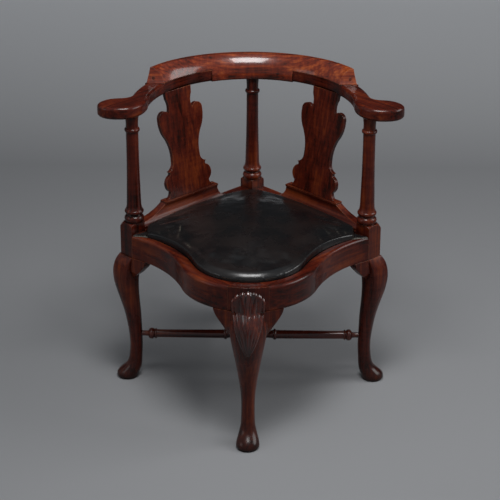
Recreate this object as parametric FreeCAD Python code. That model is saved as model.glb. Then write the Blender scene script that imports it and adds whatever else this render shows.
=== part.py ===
import FreeCAD, Part
import math
import os
from FreeCAD import Vector

# A corner chair: a square seat set cornerwise, with one leg in front, one behind and one
# each side. Three posts rise as turned columns to a round arm and crest rail.
# Millimetres. X to the sitter's left, Y to the back, Z up, origin on the floor at the centre.

# Posts and seat rails
POST_REACH = 285.0           # each post's axis from the centre of the chair
POST_SIDE = 42.0             # square part of a post
RAIL_TOP = 398.0
RAIL_DEPTH = 60.0
TENON_THICKNESS = 12.0
TENON_LENGTH = 14.0            # two at right angles stay clear of each other in one post
TENON_SHOULDER = 7.0         # rail left above and below each tenon

# Serpentine front rails
LOBE_RADIUS = 164.5          # round front of the seat
LOBE_FRONT = 310.0           # front of the lobe from the centre of the chair
HOLLOW_START = 31.0          # slope of the rail's face where it leaves the side post, degrees
FRONT_RAIL_THICKNESS = 38.0
FRONT_RIM = 27.0             # wood left outside the slip seat round the lobe
SEAT_HOLLOW_START = 33.0     # slope of the seat's edge at its side corners, degrees
SEAT_HOLLOW_FORWARD = 37.0   # side corners of the seat in front of the posts' axes
RIM_ROUND = 8.0

# Rebate for the slip seat
REBATE_DEPTH = 22.0
REAR_LIP = 33.0              # rear rail left outside the slip seat, which carries the shoe
SEAT_CORNER_GAP = 4.0        # between the cut corners of the rebate and the posts

# Legs: height, outward shift of the middle, half width outward, half width across,
# and roundness of the section, 2 for a circle and 1 for a square on its corner
LEG_SECTIONS = (
    (5.0, 21.0, 27.0, 27.0, 2.0),
    (12.0, 20.0, 27.5, 27.0, 2.0),
    (21.0, 15.0, 26.0, 24.5, 2.0),
    (35.0, 5.5, 20.0, 20.0, 2.0),
    (49.0, 1.5, 17.0, 17.0, 2.0),
    (66.0, -0.5, 16.0, 16.0, 2.0),
    (92.0, -2.0, 15.7, 15.7, 2.0),
    (134.0, 0.0, 17.0, 17.0, 1.9),
    (176.0, 4.3, 20.0, 20.0, 1.75),
    (217.0, 11.5, 24.3, 24.0, 1.6),
    (259.0, 18.0, 29.7, 28.5, 1.4),
    (290.0, 18.0, 32.5, 31.0, 1.3),
    (315.0, 12.5, 33.5, 32.0, 1.2),
)
KNEE_PROUD = 1.8             # knee stands out this much beyond the post's corners
KNEE_SQUARENESS = 1.12
FOOT_DISC_RADIUS = 24.0
LONG_LEG_SPREAD = 32.0       # front and back feet stand this much further out than side feet
FRONT_KNEE_EXTRA = 16.0      # front knee is this much wider each way, for its shell
KNEE_EXTRA_FROM = 0.36       # share of the leg's height at which it starts to widen

# Shell on the front knee
SHELL_TOP = 387.0
SHELL_BOTTOM = 236.0
SHELL_HALF_WIDTH = 39.0
SHELL_LIFT = 4.0
SHELL_LOBES = 7
SHELL_SHOULDER = 352.0       # height of the shell's widest part

# Knee brackets
# Each lower edge is given from tip to leg, as shares of the bracket's length and drop.
BRACKET_LENGTH = 41.0        # beside the side and back posts
BRACKET_DROP = 62.0
BRACKET_EDGE = ((1.0, 0.0), (0.94, 0.06), (0.89, 0.19), (0.81, 0.30), (0.62, 0.45), (0.42, 0.60),
                (0.1, 0.78), (-0.4, 1.0))
FRONT_BRACKET_LENGTH = 35.0  # beside the front leg
FRONT_BRACKET_DROP = 72.0
FRONT_BRACKET_EDGE = ((1.0, 0.0), (0.93, 0.12), (0.60, 0.36), (0.28, 0.59), (0.03, 0.82), (-0.35, 1.0))
BRACKET_THICKNESS = 24.0
BRACKET_PROUD = 2.0
BRACKET_ROOT = 21.0          # bracket carried on towards the middle of its leg
BRACKET_ROLL = 12.0          # lower edge of the bracket set back by its rounded front
BRACKET_TAPER = 6.0          # its back drawn forward at its lower end

# Turned columns
COLUMN_OUTWARD = -5.0        # column axis outside the post's axis
BLOCK_TOP = 424.0
SHOULDER_DROP = 20.0
SHOULDER_TOP_RADIUS = 24.0
COLUMN_TENON_RADIUS = 10.0
COLUMN_TENON_LENGTH = 22.0

# Arms and crest
ARM_UNDERSIDE = 697.0
ARM_THICKNESS = 30.0
ARM_CENTRE_BACK = 13.0       # centre of the arm's sweep behind the centre of the chair
ARM_INNER_RADIUS = 245.0
ARM_WIDTH = 41.0
ARM_ROUND = 8.0
HAND_REACH = 360.0           # side of the hand-hold from the centre of the chair
HAND_FRONT = 42.0            # front of the hand-hold before the side post
CREST_HEIGHT = 35.5          # crest's ends above the arm
CREST_DISH = 6.0             # middle of the crest's top below its ends
CREST_SWEEP_ANGLE = 66.0     # half of the crest's sweep before its ends are cut, degrees
CREST_JOINT_ANGLE = 24.0     # where each arm butts against the crest's deep middle, degrees
CREST_SET_IN = 3.0           # crest's back inside the arm's outer edge
CREST_PROUD = 3.0            # crest's deep middle stands this much inside the arm's inner edge
CREST_ROLL_RADIUS = 61.6     # rolled front
CREST_ROLL_FOOT = 9.0        # where the roll turns upright, above the arm's underside
CREST_LOWER_ROUND = 4.0
CREST_END_BACK = 124.0       # foot of the crest's end behind the arm's centre
CREST_END_LEAN = 16.0        # the end leans back this much
CREST_END_HOLLOW = 1.0
HAND_ROOT_BACK = 24.0        # rear edge of the hand-hold behind the arm's centre

# Splats and shoes
SHOE_HEIGHT = 42.0
SHOE_TOP_WIDTH = 22.0
SHOE_TOP_START = 0.27        # shoe's top along the rail, as shares of the post spacing
SHOE_TOP_END = 0.70
SHOE_BEAD = 5.0
SHOE_SIDE_THICKNESS = 13.0   # shoe's thickness where it dies against the side post
SPLAT_THICKNESS = 10.0
SPLAT_BASE_INSET = 11.5      # middle of the splat's foot inside the rail's outer face
SPLAT_LEAN = 43.0            # how far the splat leans out between shoe and arm
SPLAT_TONGUE = 7.0           # splat let into the shoe and the arm

# Stretchers
STRETCHER_HEIGHT = 119.0
STRETCHER_RADIUS = 11.0
STRETCHER_BLOCK = 30.0
STRETCHER_PIN_RADIUS = 6.5
STRETCHER_PIN_LENGTH = 12.0
STRETCHER_RING_AT = 61.0

# Slip seat
SEAT_CLEARANCE = 0.6
LEATHER = 2.0
SEAT_FRAME_THICKNESS = 18.0
SEAT_FRAME_WIDTH = 50.0
LEATHER_TURN_IN = 28.0
WEBBING_WIDTH = 50.0
WEBBING_THICKNESS = 1.2
HESSIAN_THICKNESS = 0.8
CROWN_HEIGHT = 30.0          # top of the leather above the seat rails
CROWN_RADIUS = 1500.0
CROWN_FORWARD = 20.0
TACK_HEAD_RADIUS = 4.5
TACK_HEAD_THICKNESS = 0.8
TACK_SHANK_RADIUS = 1.0
TACK_LENGTH = 12.0
TACK_INSET = 24.0
TACK_SPACING = 45.0

# Blocks and screws
BLOCK_LEG = 62.0
BLOCK_DEPTH = 26.0
BLOCK_BELOW_SEAT = 5.0
SCREW_RADIUS = 2.5
SCREW_HEAD_RADIUS = 4.5
SCREW_HEAD_LENGTH = 3.0
BLOCK_SCREW_LENGTH = 42.0
CREST_SCREW_LENGTH = 40.0
CREST_SCREW_SINK = 8.0
CREST_SCREW_ANGLES = (32.0, 42.0, 51.0)
PLUG_RADIUS = 4.0
PLUG_FROM_MIDDLE = 238.0
PLUG_ABOVE_ARM = 11.0
PLUG_LENGTH = 22.0

ROOT2 = math.sqrt(2.0)
UP = Vector(0, 0, 1)
FAR = 1000.0

half_diagonal = POST_SIDE / ROOT2
face_line = POST_REACH - half_diagonal       # x + y on the side post's inner front face
outer_line = POST_REACH + half_diagonal      # x + y on the rear rail's outer face
rail_bottom = RAIL_TOP - RAIL_DEPTH
seat_ledge = RAIL_TOP - REBATE_DEPTH
seat_rear_line = outer_line - REAR_LIP * ROOT2
seat_corner = face_line - SEAT_CORNER_GAP
arm_top = ARM_UNDERSIDE + ARM_THICKNESS
arm_outer_radius = ARM_INNER_RADIUS + ARM_WIDTH
crest_top = arm_top + CREST_HEIGHT
crest_back_radius = arm_outer_radius - CREST_SET_IN
crest_front_radius = ARM_INNER_RADIUS - CREST_PROUD
crest_end_line = ARM_CENTRE_BACK + CREST_END_BACK
shoe_top = RAIL_TOP + SHOE_HEIGHT
arm_centre = Vector(0, ARM_CENTRE_BACK, 0)
seat_frame_bottom = seat_ledge + LEATHER
seat_frame_top = seat_frame_bottom + SEAT_FRAME_THICKNESS
webbing_top = seat_frame_top + 2 * WEBBING_THICKNESS
hessian_top = webbing_top + HESSIAN_THICKNESS

# The serpentine: a round lobe in front, and a hollow each side that meets the lobe smoothly
# and leaves the front corner of the side post at HOLLOW_START.
lobe_centre = Vector(0, LOBE_RADIUS - LOBE_FRONT, 0)
hollow_origin = Vector(POST_REACH, -half_diagonal, 0)
hollow_normal = Vector(math.sin(math.radians(HOLLOW_START)), -math.cos(math.radians(HOLLOW_START)), 0)
origin_from_lobe = hollow_origin - lobe_centre
hollow_radius = (origin_from_lobe.Length ** 2 - LOBE_RADIUS ** 2) / (
    2 * (LOBE_RADIUS - origin_from_lobe.dot(hollow_normal)))
hollow_centre = hollow_origin + hollow_normal * hollow_radius
meeting_direction = (hollow_centre - lobe_centre).normalize()

# The seat's edge follows the serpentine, but its rim narrows towards the side posts.
seat_hollow_origin = Vector(seat_corner, -SEAT_HOLLOW_FORWARD, 0)
seat_hollow_normal = Vector(
    math.sin(math.radians(SEAT_HOLLOW_START)), -math.cos(math.radians(SEAT_HOLLOW_START)), 0)
seat_lobe_radius = LOBE_RADIUS - FRONT_RIM
seat_from_lobe = seat_hollow_origin - lobe_centre
seat_hollow_radius = (seat_from_lobe.Length ** 2 - seat_lobe_radius ** 2) / (
    2 * (seat_lobe_radius - seat_from_lobe.dot(seat_hollow_normal)))
seat_hollow_centre = seat_hollow_origin + seat_hollow_normal * seat_hollow_radius
seat_meeting_direction = (seat_hollow_centre - lobe_centre).normalize()


def line(a, b):
    return Part.LineSegment(a, b).toShape()


def arc(a, middle, b):
    return Part.Arc(a, middle, b).toShape()


def spline(points):
    """Smooth curve through a few points."""
    curve = Part.BSplineCurve()
    curve.interpolate(Points=points)
    return curve.toShape()


def arc_about(centre, a, b):
    """The shorter arc from a to b about a centre."""
    radius = (a - centre).Length
    halfway = ((a - centre) + (b - centre)).normalize()
    return arc(a, centre + halfway * radius, b)


def closed_face(edges):
    return Part.Face(Part.Wire(Part.__sortEdges__(edges)))


def prism(edges, bottom, top):
    """Upright solid from a closed outline drawn at height zero."""
    face = closed_face(edges)
    face.translate(Vector(0, 0, bottom))
    return face.extrude(Vector(0, 0, top - bottom))


def polygon(points):
    return [line(points[i - 1], points[i]) for i in range(len(points))]


def turned(profile_edges, axis_point, axis=UP):
    """Solid of revolution from a closed profile."""
    return closed_face(profile_edges).revolve(axis_point, axis, 360)


def box(centre, size, angle=0.0):
    """Box of a given size about a centre, turned about the upright axis."""
    solid = Part.makeBox(size.x, size.y, size.z, centre - size * 0.5)
    solid.rotate(centre, UP, angle)
    return solid


def mirrored(shape):
    return shape.mirror(Vector(0, 0, 0), Vector(1, 0, 0))


def turned_round(shape, angle):
    """The same shape turned about the middle of the chair."""
    copy = shape.copy()
    copy.rotate(Vector(0, 0, 0), UP, angle)
    return copy


def single(shape):
    """The solid itself where a cut or a joint leaves one."""
    return shape.Solids[0] if len(shape.Solids) == 1 else shape


def cleaned(shape):
    """One solid with its flat faces merged."""
    return single(shape.removeSplitter())


def crossing(centre, radius, total, side):
    """Where a circle crosses the line x + y = total, to the right (1) or left (-1)."""
    gap = total - centre.x - centre.y
    foot = centre + Vector(gap / 2, gap / 2, 0)
    half_chord = math.sqrt(radius ** 2 - gap ** 2 / 2)
    return foot + Vector(side, -side, 0) * (half_chord / ROOT2)


def serpentine(inset):
    """Right half of the front curve, from the front post's face to the side post's face."""
    start = crossing(lobe_centre, LOBE_RADIUS - inset, -face_line, 1)
    meeting = lobe_centre + meeting_direction * (LOBE_RADIUS - inset)
    end = crossing(hollow_centre, hollow_radius + inset, face_line, -1)
    return [arc_about(lobe_centre, start, meeting), arc_about(hollow_centre, meeting, end)]


def ends(edges):
    """First and last point of a run of edges."""
    return edges[0].valueAt(edges[0].FirstParameter), edges[-1].valueAt(edges[-1].LastParameter)


def serpentine_band(outer_inset, inner_inset, bottom, top):
    """Curved bar between two insets of the serpentine."""
    outer = serpentine(outer_inset)
    inner = serpentine(inner_inset)
    outer_start, outer_end = ends(outer)
    inner_start, inner_end = ends(inner)
    return prism(outer + inner + [line(outer_start, inner_start), line(outer_end, inner_end)], bottom, top)


def seat_outline(inset):
    """Closed plan of the slip seat's recess, drawn in by an inset."""
    side_x = seat_corner - inset
    radius = seat_hollow_radius + inset
    rear_total = seat_rear_line - inset * ROOT2
    front = Vector(0, lobe_centre.y - seat_lobe_radius + inset, 0)
    meeting = lobe_centre + seat_meeting_direction * (seat_lobe_radius - inset)
    rise = math.sqrt(radius ** 2 - (side_x - seat_hollow_centre.x) ** 2)
    side_front = Vector(side_x, seat_hollow_centre.y + rise, 0)
    side_rear = Vector(side_x, rear_total - side_x, 0)
    back_x = rear_total - side_x
    back_corner = Vector(back_x, side_x, 0) if back_x > 0 else Vector(0, rear_total, 0)
    right = [
        arc_about(lobe_centre, front, meeting),
        arc_about(seat_hollow_centre, meeting, side_front),
        line(side_front, side_rear),
        line(side_rear, back_corner),
    ]
    left = [mirrored(edge) for edge in right]
    across_back = [line(back_corner, Vector(-back_x, side_x, 0))] if back_x > 0 else []
    return right + left + across_back


def leg_section(height, reach, half_out, half_across, roundness):
    """Closed smooth section of a leg, its corners pointing outward and across."""
    points = []
    for step in range(16):
        angle = math.radians(22.5 * step)
        across, out = math.sin(angle), math.cos(angle)
        out_length = math.copysign(abs(out) ** (2 / roundness), out) * half_out
        across_length = math.copysign(abs(across) ** (2 / roundness), across) * half_across
        points.append(Vector(reach + out_length, across_length, height))
    curve = Part.BSplineCurve()
    curve.interpolate(Points=points, PeriodicFlag=True)
    return Part.Wire(curve.toShape())


def cabriole(spread, knee_extra, swell=0.0):
    """Curved leg from the floor to the underside of the rails, about its own post's axis."""
    knee = half_diagonal + KNEE_PROUD
    rows = LEG_SECTIONS + ((rail_bottom, KNEE_PROUD / 2, knee, knee, KNEE_SQUARENESS),)
    wires = []
    for height, reach, half_out, half_across, roundness in rows:
        share = height / rail_bottom
        shift = spread * (1 - share)
        extra = knee_extra * max(0.0, (share - KNEE_EXTRA_FROM) / (1 - KNEE_EXTRA_FROM)) + swell
        wires.append(
            leg_section(height, reach + shift, half_out + extra * 0.6, half_across + extra, roundness))
    leg = Part.makeLoft(wires, True, False)
    first_height, first_reach = rows[0][0], rows[0][1]
    disc_centre = Vector(first_reach + spread, 0, 0)
    disc = Part.makeCylinder(FOOT_DISC_RADIUS, first_height + 1, disc_centre)
    return leg.fuse(disc)


def column_profile(top):
    """Edges of half the turning, from inside the post's block to the top of its tenon."""
    def at(radius, height):
        return Vector(radius, 0, height)
    block_inside = BLOCK_TOP - SHOULDER_DROP
    edges = [
        line(at(0, block_inside), at(17, block_inside)),
        line(at(17, block_inside), at(17, BLOCK_TOP)),
        line(at(17, BLOCK_TOP), at(21, BLOCK_TOP)),
        line(at(21, BLOCK_TOP), at(21, BLOCK_TOP + 2)),
        arc(at(21, BLOCK_TOP + 2), at(24, BLOCK_TOP + 10), at(18.5, BLOCK_TOP + 18)),
        line(at(18.5, BLOCK_TOP + 18), at(17.6, BLOCK_TOP + 20)),
        line(at(17.6, BLOCK_TOP + 20), at(19, BLOCK_TOP + 22)),
        arc(at(19, BLOCK_TOP + 22), at(23.2, BLOCK_TOP + 27), at(21, BLOCK_TOP + 32)),
        spline([at(21, BLOCK_TOP + 32), at(18.7, BLOCK_TOP + 38), at(17.5, BLOCK_TOP + 50),
                at(15.8, BLOCK_TOP + 112), at(14.8, BLOCK_TOP + 180), at(14.8, top - 42)]),
        arc(at(14.8, top - 42), at(18.4, top - 37), at(14.8, top - 32)),
        spline([at(14.8, top - 32), at(14.9, top - 16), at(17, top)]),
        line(at(17, top), at(COLUMN_TENON_RADIUS, top)),
        line(at(COLUMN_TENON_RADIUS, top), at(COLUMN_TENON_RADIUS, top + COLUMN_TENON_LENGTH)),
        line(at(COLUMN_TENON_RADIUS, top + COLUMN_TENON_LENGTH), at(0, top + COLUMN_TENON_LENGTH)),
        line(at(0, top + COLUMN_TENON_LENGTH), at(0, block_inside)),
    ]
    return edges


def post_block():
    """Square part of a post, set cornerwise, with the turned shoulder at its top."""
    middle = Vector(0, 0, (rail_bottom + BLOCK_TOP) / 2)
    square = box(middle, Vector(POST_SIDE, POST_SIDE, BLOCK_TOP - rail_bottom), 45)
    wide = half_diagonal + abs(COLUMN_OUTWARD) + 2
    shoulder_foot = BLOCK_TOP - SHOULDER_DROP

    def at(radius, height):
        return Vector(radius, 0, height)
    envelope = turned([
        line(at(0, rail_bottom), at(wide, rail_bottom)),
        line(at(wide, rail_bottom), at(wide, shoulder_foot)),
        arc(at(wide, shoulder_foot), at(wide - 4, BLOCK_TOP - SHOULDER_DROP * 0.45),
            at(SHOULDER_TOP_RADIUS, BLOCK_TOP)),
        line(at(SHOULDER_TOP_RADIUS, BLOCK_TOP), at(0, BLOCK_TOP)),
        line(at(0, BLOCK_TOP), at(0, rail_bottom)),
    ], Vector(0, 0, 0))
    envelope.translate(Vector(COLUMN_OUTWARD, 0, 0))
    return square.common(envelope)


def leg_with_column(spread):
    """Leg, post and turned column in one timber, about the post's own axis."""
    column = turned(column_profile(ARM_UNDERSIDE), Vector(0, 0, 0))
    column.translate(Vector(COLUMN_OUTWARD, 0, 0))
    return single(cabriole(spread, 0.0).fuse(post_block()).fuse(column))


def shell_outline():
    """Scalloped outline of the carved shell, seen from the front."""
    half_spread = math.radians(78)
    rise = SHELL_TOP - SHELL_SHOULDER
    edges = []
    ring = []
    for step in range(SHELL_LOBES + 1):
        angle = -half_spread + 2 * half_spread * step / SHELL_LOBES
        ring.append(
            Vector(0, SHELL_HALF_WIDTH * math.sin(angle), SHELL_SHOULDER + rise * 0.9 * math.cos(angle)))
    for step in range(SHELL_LOBES):
        angle = -half_spread + 2 * half_spread * (step + 0.5) / SHELL_LOBES
        crown = Vector(0, SHELL_HALF_WIDTH * 1.04 * math.sin(angle), SHELL_SHOULDER + rise * math.cos(angle))
        edges.append(arc(ring[step], crown, ring[step + 1]))
    tip = Vector(0, 0, SHELL_BOTTOM)
    bend_height = (SHELL_SHOULDER + SHELL_BOTTOM) / 2
    bend = Vector(0, SHELL_HALF_WIDTH * 0.72, bend_height)
    edges.append(arc(ring[-1], bend, tip))
    edges.append(arc(tip, Vector(0, -bend.y, bend.z), ring[0]))
    return edges


def front_leg_solid():
    """Front leg, its head shaped to the lobe of the seat, with the shell on its knee."""
    leg = turned_round(cabriole(LONG_LEG_SPREAD, FRONT_KNEE_EXTRA).translated(Vector(POST_REACH, 0, 0)), -90)
    right_face = crossing(lobe_centre, LOBE_RADIUS, -face_line, 1)
    left_face = Vector(-right_face.x, right_face.y, 0)
    head = prism([
        arc_about(lobe_centre, left_face, right_face),
        line(right_face, Vector(0, -face_line, 0)),
        line(Vector(0, -face_line, 0), left_face),
    ], rail_bottom, RAIL_TOP)
    blank = cabriole(LONG_LEG_SPREAD, FRONT_KNEE_EXTRA, SHELL_LIFT).translated(Vector(POST_REACH, 0, 0))
    blank = turned_round(blank, -90)
    head_cover = Part.makeCylinder(LOBE_RADIUS + SHELL_LIFT, SHELL_TOP - rail_bottom + 1,
                                   lobe_centre + Vector(0, 0, rail_bottom - 1))
    knee_out = half_diagonal + KNEE_PROUD + (FRONT_KNEE_EXTRA + SHELL_LIFT) * 0.6
    knee_across = half_diagonal + KNEE_PROUD + FRONT_KNEE_EXTRA + SHELL_LIFT
    top_out = LOBE_FRONT + SHELL_LIFT - POST_REACH
    rising = Part.makeLoft([
        leg_section(rail_bottom - 1, KNEE_PROUD / 2, knee_out, knee_across, KNEE_SQUARENESS),
        leg_section((rail_bottom + SHELL_TOP) / 2, KNEE_PROUD / 4, (knee_out + top_out) / 2, knee_across,
                    1.4),
        leg_section(SHELL_TOP, 0, top_out, knee_across, 1.7),
    ], True, False).translated(Vector(POST_REACH, 0, 0))
    head_cover = head_cover.fuse(turned_round(rising, -90))
    outline = closed_face(shell_outline())
    shell_prism = turned_round(outline.extrude(Vector(FAR, 0, 0)), -90)
    shell_prism = shell_prism.common(box(Vector(0, -FAR / 2 - POST_REACH, 0), Vector(FAR, FAR, FAR)))
    shell = shell_prism.common(blank.fuse(head_cover))
    return single(leg.fuse(head).fuse(shell))


def tenon(face_centre, angle):
    """Tenon standing out of a rail's end, into the post."""
    bottom = rail_bottom + TENON_SHOULDER
    top = seat_ledge - TENON_SHOULDER
    direction = Vector(math.cos(math.radians(angle)), math.sin(math.radians(angle)), 0)
    middle = face_centre + direction * (TENON_LENGTH / 2) + Vector(0, 0, (bottom + top) / 2)
    return box(middle, Vector(TENON_LENGTH, TENON_THICKNESS, top - bottom), angle)


def front_right_rail_solid(recess):
    rail = serpentine_band(0, FRONT_RAIL_THICKNESS, rail_bottom, RAIL_TOP)
    rail = rounded_rim(rail)
    outer_start, outer_end = ends(serpentine(0))
    inner_start, inner_end = ends(serpentine(FRONT_RAIL_THICKNESS))
    rail = rail.fuse(tenon((outer_end + inner_end) * 0.5, 45))
    rail = rail.fuse(tenon((outer_start + inner_start) * 0.5, 225))
    return cleaned(rail.cut(recess))


def rounded_rim(rail):
    """Round over the outer top edge of a rail."""
    outer_edges = []
    for edge in rail.Edges:
        middle = edge.valueAt((edge.FirstParameter + edge.LastParameter) / 2)
        level = abs(middle.z - RAIL_TOP) < 0.01
        on_lobe = abs((middle - lobe_centre - UP * RAIL_TOP).Length - LOBE_RADIUS) < 0.01
        on_hollow = abs((middle - hollow_centre - UP * RAIL_TOP).Length - hollow_radius) < 0.01
        if level and (on_lobe or on_hollow):
            outer_edges.append(edge)
    return rail.makeFillet(RIM_ROUND, outer_edges)


def back_right_rail_solid(recess):
    outer_side = Vector(POST_REACH, half_diagonal, 0)
    outer_back = Vector(half_diagonal, POST_REACH, 0)
    inner_back = Vector(0, face_line, 0)
    inner_side = Vector(face_line, 0, 0)
    rail = prism(polygon([outer_side, outer_back, inner_back, inner_side]), rail_bottom, RAIL_TOP)
    rail = rail.fuse(tenon((outer_side + inner_side) * 0.5, -45))
    rail = rail.fuse(tenon((outer_back + inner_back) * 0.5, 135))
    return cleaned(rail.cut(recess))


def along_rear_rail(shape):
    """Put a shape drawn with s along X, inward depth along Y and height along Z on the right
    rear rail: s runs from the side post's axis to the back post's, depth from the outer face."""
    placed = shape.copy()
    placed.rotate(Vector(0, 0, 0), UP, 135)
    placed.translate(Vector(POST_REACH, 0, 0) + Vector(1, 1, 0) * (half_diagonal / 2))
    return placed


def right_shoe_solid():
    """Moulded shoe on the rear rail: hollow front, hollow ends, bead along the top."""
    spacing = POST_REACH * ROOT2
    side_end = POST_SIDE / 2
    back_end = spacing - POST_SIDE / 2
    top_start = spacing * SHOE_TOP_START
    top_end = spacing * SHOE_TOP_END

    def at(depth, height):
        return Vector(side_end, depth, RAIL_TOP + height)
    front_bead = SHOE_HEIGHT - SHOE_BEAD
    section = closed_face([
        line(at(0, 0), at(0, SHOE_HEIGHT)),
        line(at(0, SHOE_HEIGHT), at(SHOE_TOP_WIDTH, SHOE_HEIGHT)),
        line(at(SHOE_TOP_WIDTH, SHOE_HEIGHT), at(SHOE_TOP_WIDTH, front_bead)),
        line(at(SHOE_TOP_WIDTH, front_bead), at(SHOE_TOP_WIDTH - 2, front_bead)),
        arc(at(SHOE_TOP_WIDTH - 2, front_bead), at(SHOE_TOP_WIDTH + 1, 14), at(REAR_LIP - 1, 4)),
        line(at(REAR_LIP - 1, 4), at(REAR_LIP, 0)),
        line(at(REAR_LIP, 0), at(0, 0)),
    ])
    body = section.extrude(Vector(back_end - side_end, 0, 0))

    def low(s, height):
        return Vector(s, -5, RAIL_TOP + height)
    outline = closed_face([
        line(low(side_end, 0), low(side_end, SHOE_SIDE_THICKNESS)),
        arc(low(side_end, SHOE_SIDE_THICKNESS), low((side_end + top_start) / 2 + 8, SHOE_HEIGHT * 0.46),
            low(top_start, SHOE_HEIGHT - SHOE_BEAD)),
        line(low(top_start, SHOE_HEIGHT - SHOE_BEAD), low(top_start, SHOE_HEIGHT)),
        line(low(top_start, SHOE_HEIGHT), low(top_end, SHOE_HEIGHT)),
        line(low(top_end, SHOE_HEIGHT), low(top_end, SHOE_HEIGHT - SHOE_BEAD)),
        arc(low(top_end, SHOE_HEIGHT - SHOE_BEAD), low(top_end + 8, SHOE_HEIGHT * 0.35),
            low(top_end + 38, 0)),
        line(low(top_end + 38, 0), low(side_end, 0)),
    ])
    shape = body.common(outline.extrude(Vector(0, REAR_LIP + 10, 0)))
    return along_rear_rail(shape)


def splat_board():
    """Vase-shaped board drawn flat: half width along X and height along Z."""
    foot = SHOE_HEIGHT - SPLAT_TONGUE
    rise = ARM_UNDERSIDE - RAIL_TOP
    top = rise + SPLAT_TONGUE

    def at(half_width, height):
        return Vector(half_width, 0, height)
    knots = [
        (at(79, 42), at(69, 47), at(63.5, 59.5)),
        (at(63.5, 59.5), at(74, 78), at(59, 100)),
        (at(59, 100), at(57.5, 104), at(62, 109)),
        (at(62, 109), at(50, 115), at(44, 131)),
        (at(44, 131), at(45, 160), at(57, 193)),
        (at(57, 193), at(68, 218), at(70, 242)),
        (at(70, 242), at(61, 259), at(38, 252)),
        (at(38, 252), at(35, 268), at(40, 287)),
    ]
    right = [line(at(79, foot), at(79, 42))] + [arc(*knot) for knot in knots]
    right.append(line(at(40, 287), at(42, top)))
    left = [mirrored(edge) for edge in right]
    face = closed_face(right + left + [line(at(-79, foot), at(79, foot)), line(at(-42, top), at(42, top))])
    face.translate(Vector(0, -SPLAT_THICKNESS / 2, 0))
    return face.extrude(Vector(0, SPLAT_THICKNESS, 0))


def right_splat_solid():
    """The board stood in the shoe and leaned back under the arm."""
    board = splat_board()
    lean = math.degrees(math.atan2(SPLAT_LEAN, ARM_UNDERSIDE - shoe_top))
    board.rotate(Vector(0, 0, SHOE_HEIGHT), Vector(1, 0, 0), lean)
    middle = POST_REACH * ROOT2 * (SHOE_TOP_START + SHOE_TOP_END) / 2
    board.translate(Vector(middle, SPLAT_BASE_INSET, RAIL_TOP))
    return along_rear_rail(board)


def round_point(radius, from_back, height=0.0):
    """Point on the arm's sweep, by its angle from the back towards the right side."""
    angle = math.radians(from_back)
    return arm_centre + Vector(radius * math.sin(angle), radius * math.cos(angle), height)


def right_arm_solid():
    """Flat curved arm that ends in an outturned rounded hand-hold."""
    outer_end = 80.0
    inner_end = 84.0
    inner_start_point = round_point(ARM_INNER_RADIUS, CREST_JOINT_ANGLE)
    outer_start_point = round_point(arm_outer_radius, CREST_JOINT_ANGLE)
    inner_end_point = round_point(ARM_INNER_RADIUS, inner_end)
    outer_end_point = round_point(arm_outer_radius, outer_end)
    flare = HAND_REACH - arm_outer_radius
    hand_rear = ARM_CENTRE_BACK + HAND_ROOT_BACK
    hand = [
        outer_end_point,
        Vector(arm_outer_radius + flare * 0.24, hand_rear, 0),
        Vector(arm_outer_radius + flare * 0.54, hand_rear - 4, 0),
        Vector(HAND_REACH - 12, hand_rear - 18, 0),
        Vector(HAND_REACH, (hand_rear - HAND_FRONT) / 2 - 3, 0),
        Vector(HAND_REACH - 13, 11 - HAND_FRONT, 0),
        Vector(arm_outer_radius + flare * 0.35, -HAND_FRONT, 0),
        Vector(arm_outer_radius - 8, 8 - HAND_FRONT, 0),
        Vector(ARM_INNER_RADIUS + 10, 33 - HAND_FRONT, 0),
        inner_end_point,
    ]
    arm = prism([
        arc_about(arm_centre, outer_start_point, outer_end_point),
        spline(hand),
        arc_about(arm_centre, inner_start_point, inner_end_point),
        line(inner_start_point, outer_start_point),
    ], ARM_UNDERSIDE, arm_top)
    rounded = []
    for edge in arm.Edges:
        box_of_edge = edge.BoundBox
        along_end = edge.Curve.TypeId == "Part::GeomLine"
        if box_of_edge.ZLength < 0.01 and not along_end:
            rounded.append(edge)
    arm = arm.makeFillet(ARM_ROUND, rounded)
    crest_end = math.degrees(math.acos(CREST_END_BACK / arm_outer_radius))
    bed = prism([
        arc_about(arm_centre, outer_start_point, round_point(arm_outer_radius, crest_end)),
        line(round_point(arm_outer_radius, crest_end), round_point(ARM_INNER_RADIUS, crest_end)),
        arc_about(arm_centre, round_point(ARM_INNER_RADIUS, crest_end), inner_start_point),
        line(inner_start_point, outer_start_point),
    ], arm_top - ARM_ROUND - 1, arm_top)
    behind_end = box(Vector(0, crest_end_line + FAR / 2, arm_top), Vector(FAR, FAR, FAR))
    return arm.fuse(bed.common(behind_end))


def swept_about_arm(section, half_angle):
    """Section drawn on the plane x = 0 behind the arm's centre, swept each way."""
    section = section.copy()
    section.rotate(arm_centre, UP, half_angle)
    return section.revolve(arm_centre, UP, -2 * half_angle)


def crest_roll(height):
    """Radius of the crest's rolled front at a height."""
    rise = height - ARM_UNDERSIDE - CREST_ROLL_FOOT
    return crest_front_radius + CREST_ROLL_RADIUS - math.sqrt(CREST_ROLL_RADIUS ** 2 - rise ** 2)


def crest_section(bottom, lower_edges):
    """Closed section of the crest above a height, its back upright and its front rolled."""
    def at(radius, height):
        return Vector(0, ARM_CENTRE_BACK + radius, height)

    def on_roll(height):
        return at(crest_roll(height), height)
    return closed_face([
        line(at(crest_back_radius, bottom), at(crest_back_radius, crest_top)),
        line(at(crest_back_radius, crest_top), on_roll(crest_top)),
        arc(on_roll(crest_top), on_roll((crest_top + bottom) / 2),
            on_roll(max(bottom, ARM_UNDERSIDE + CREST_ROLL_FOOT))),
    ] + [line(at(*a), at(*b)) for a, b in lower_edges])


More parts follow.
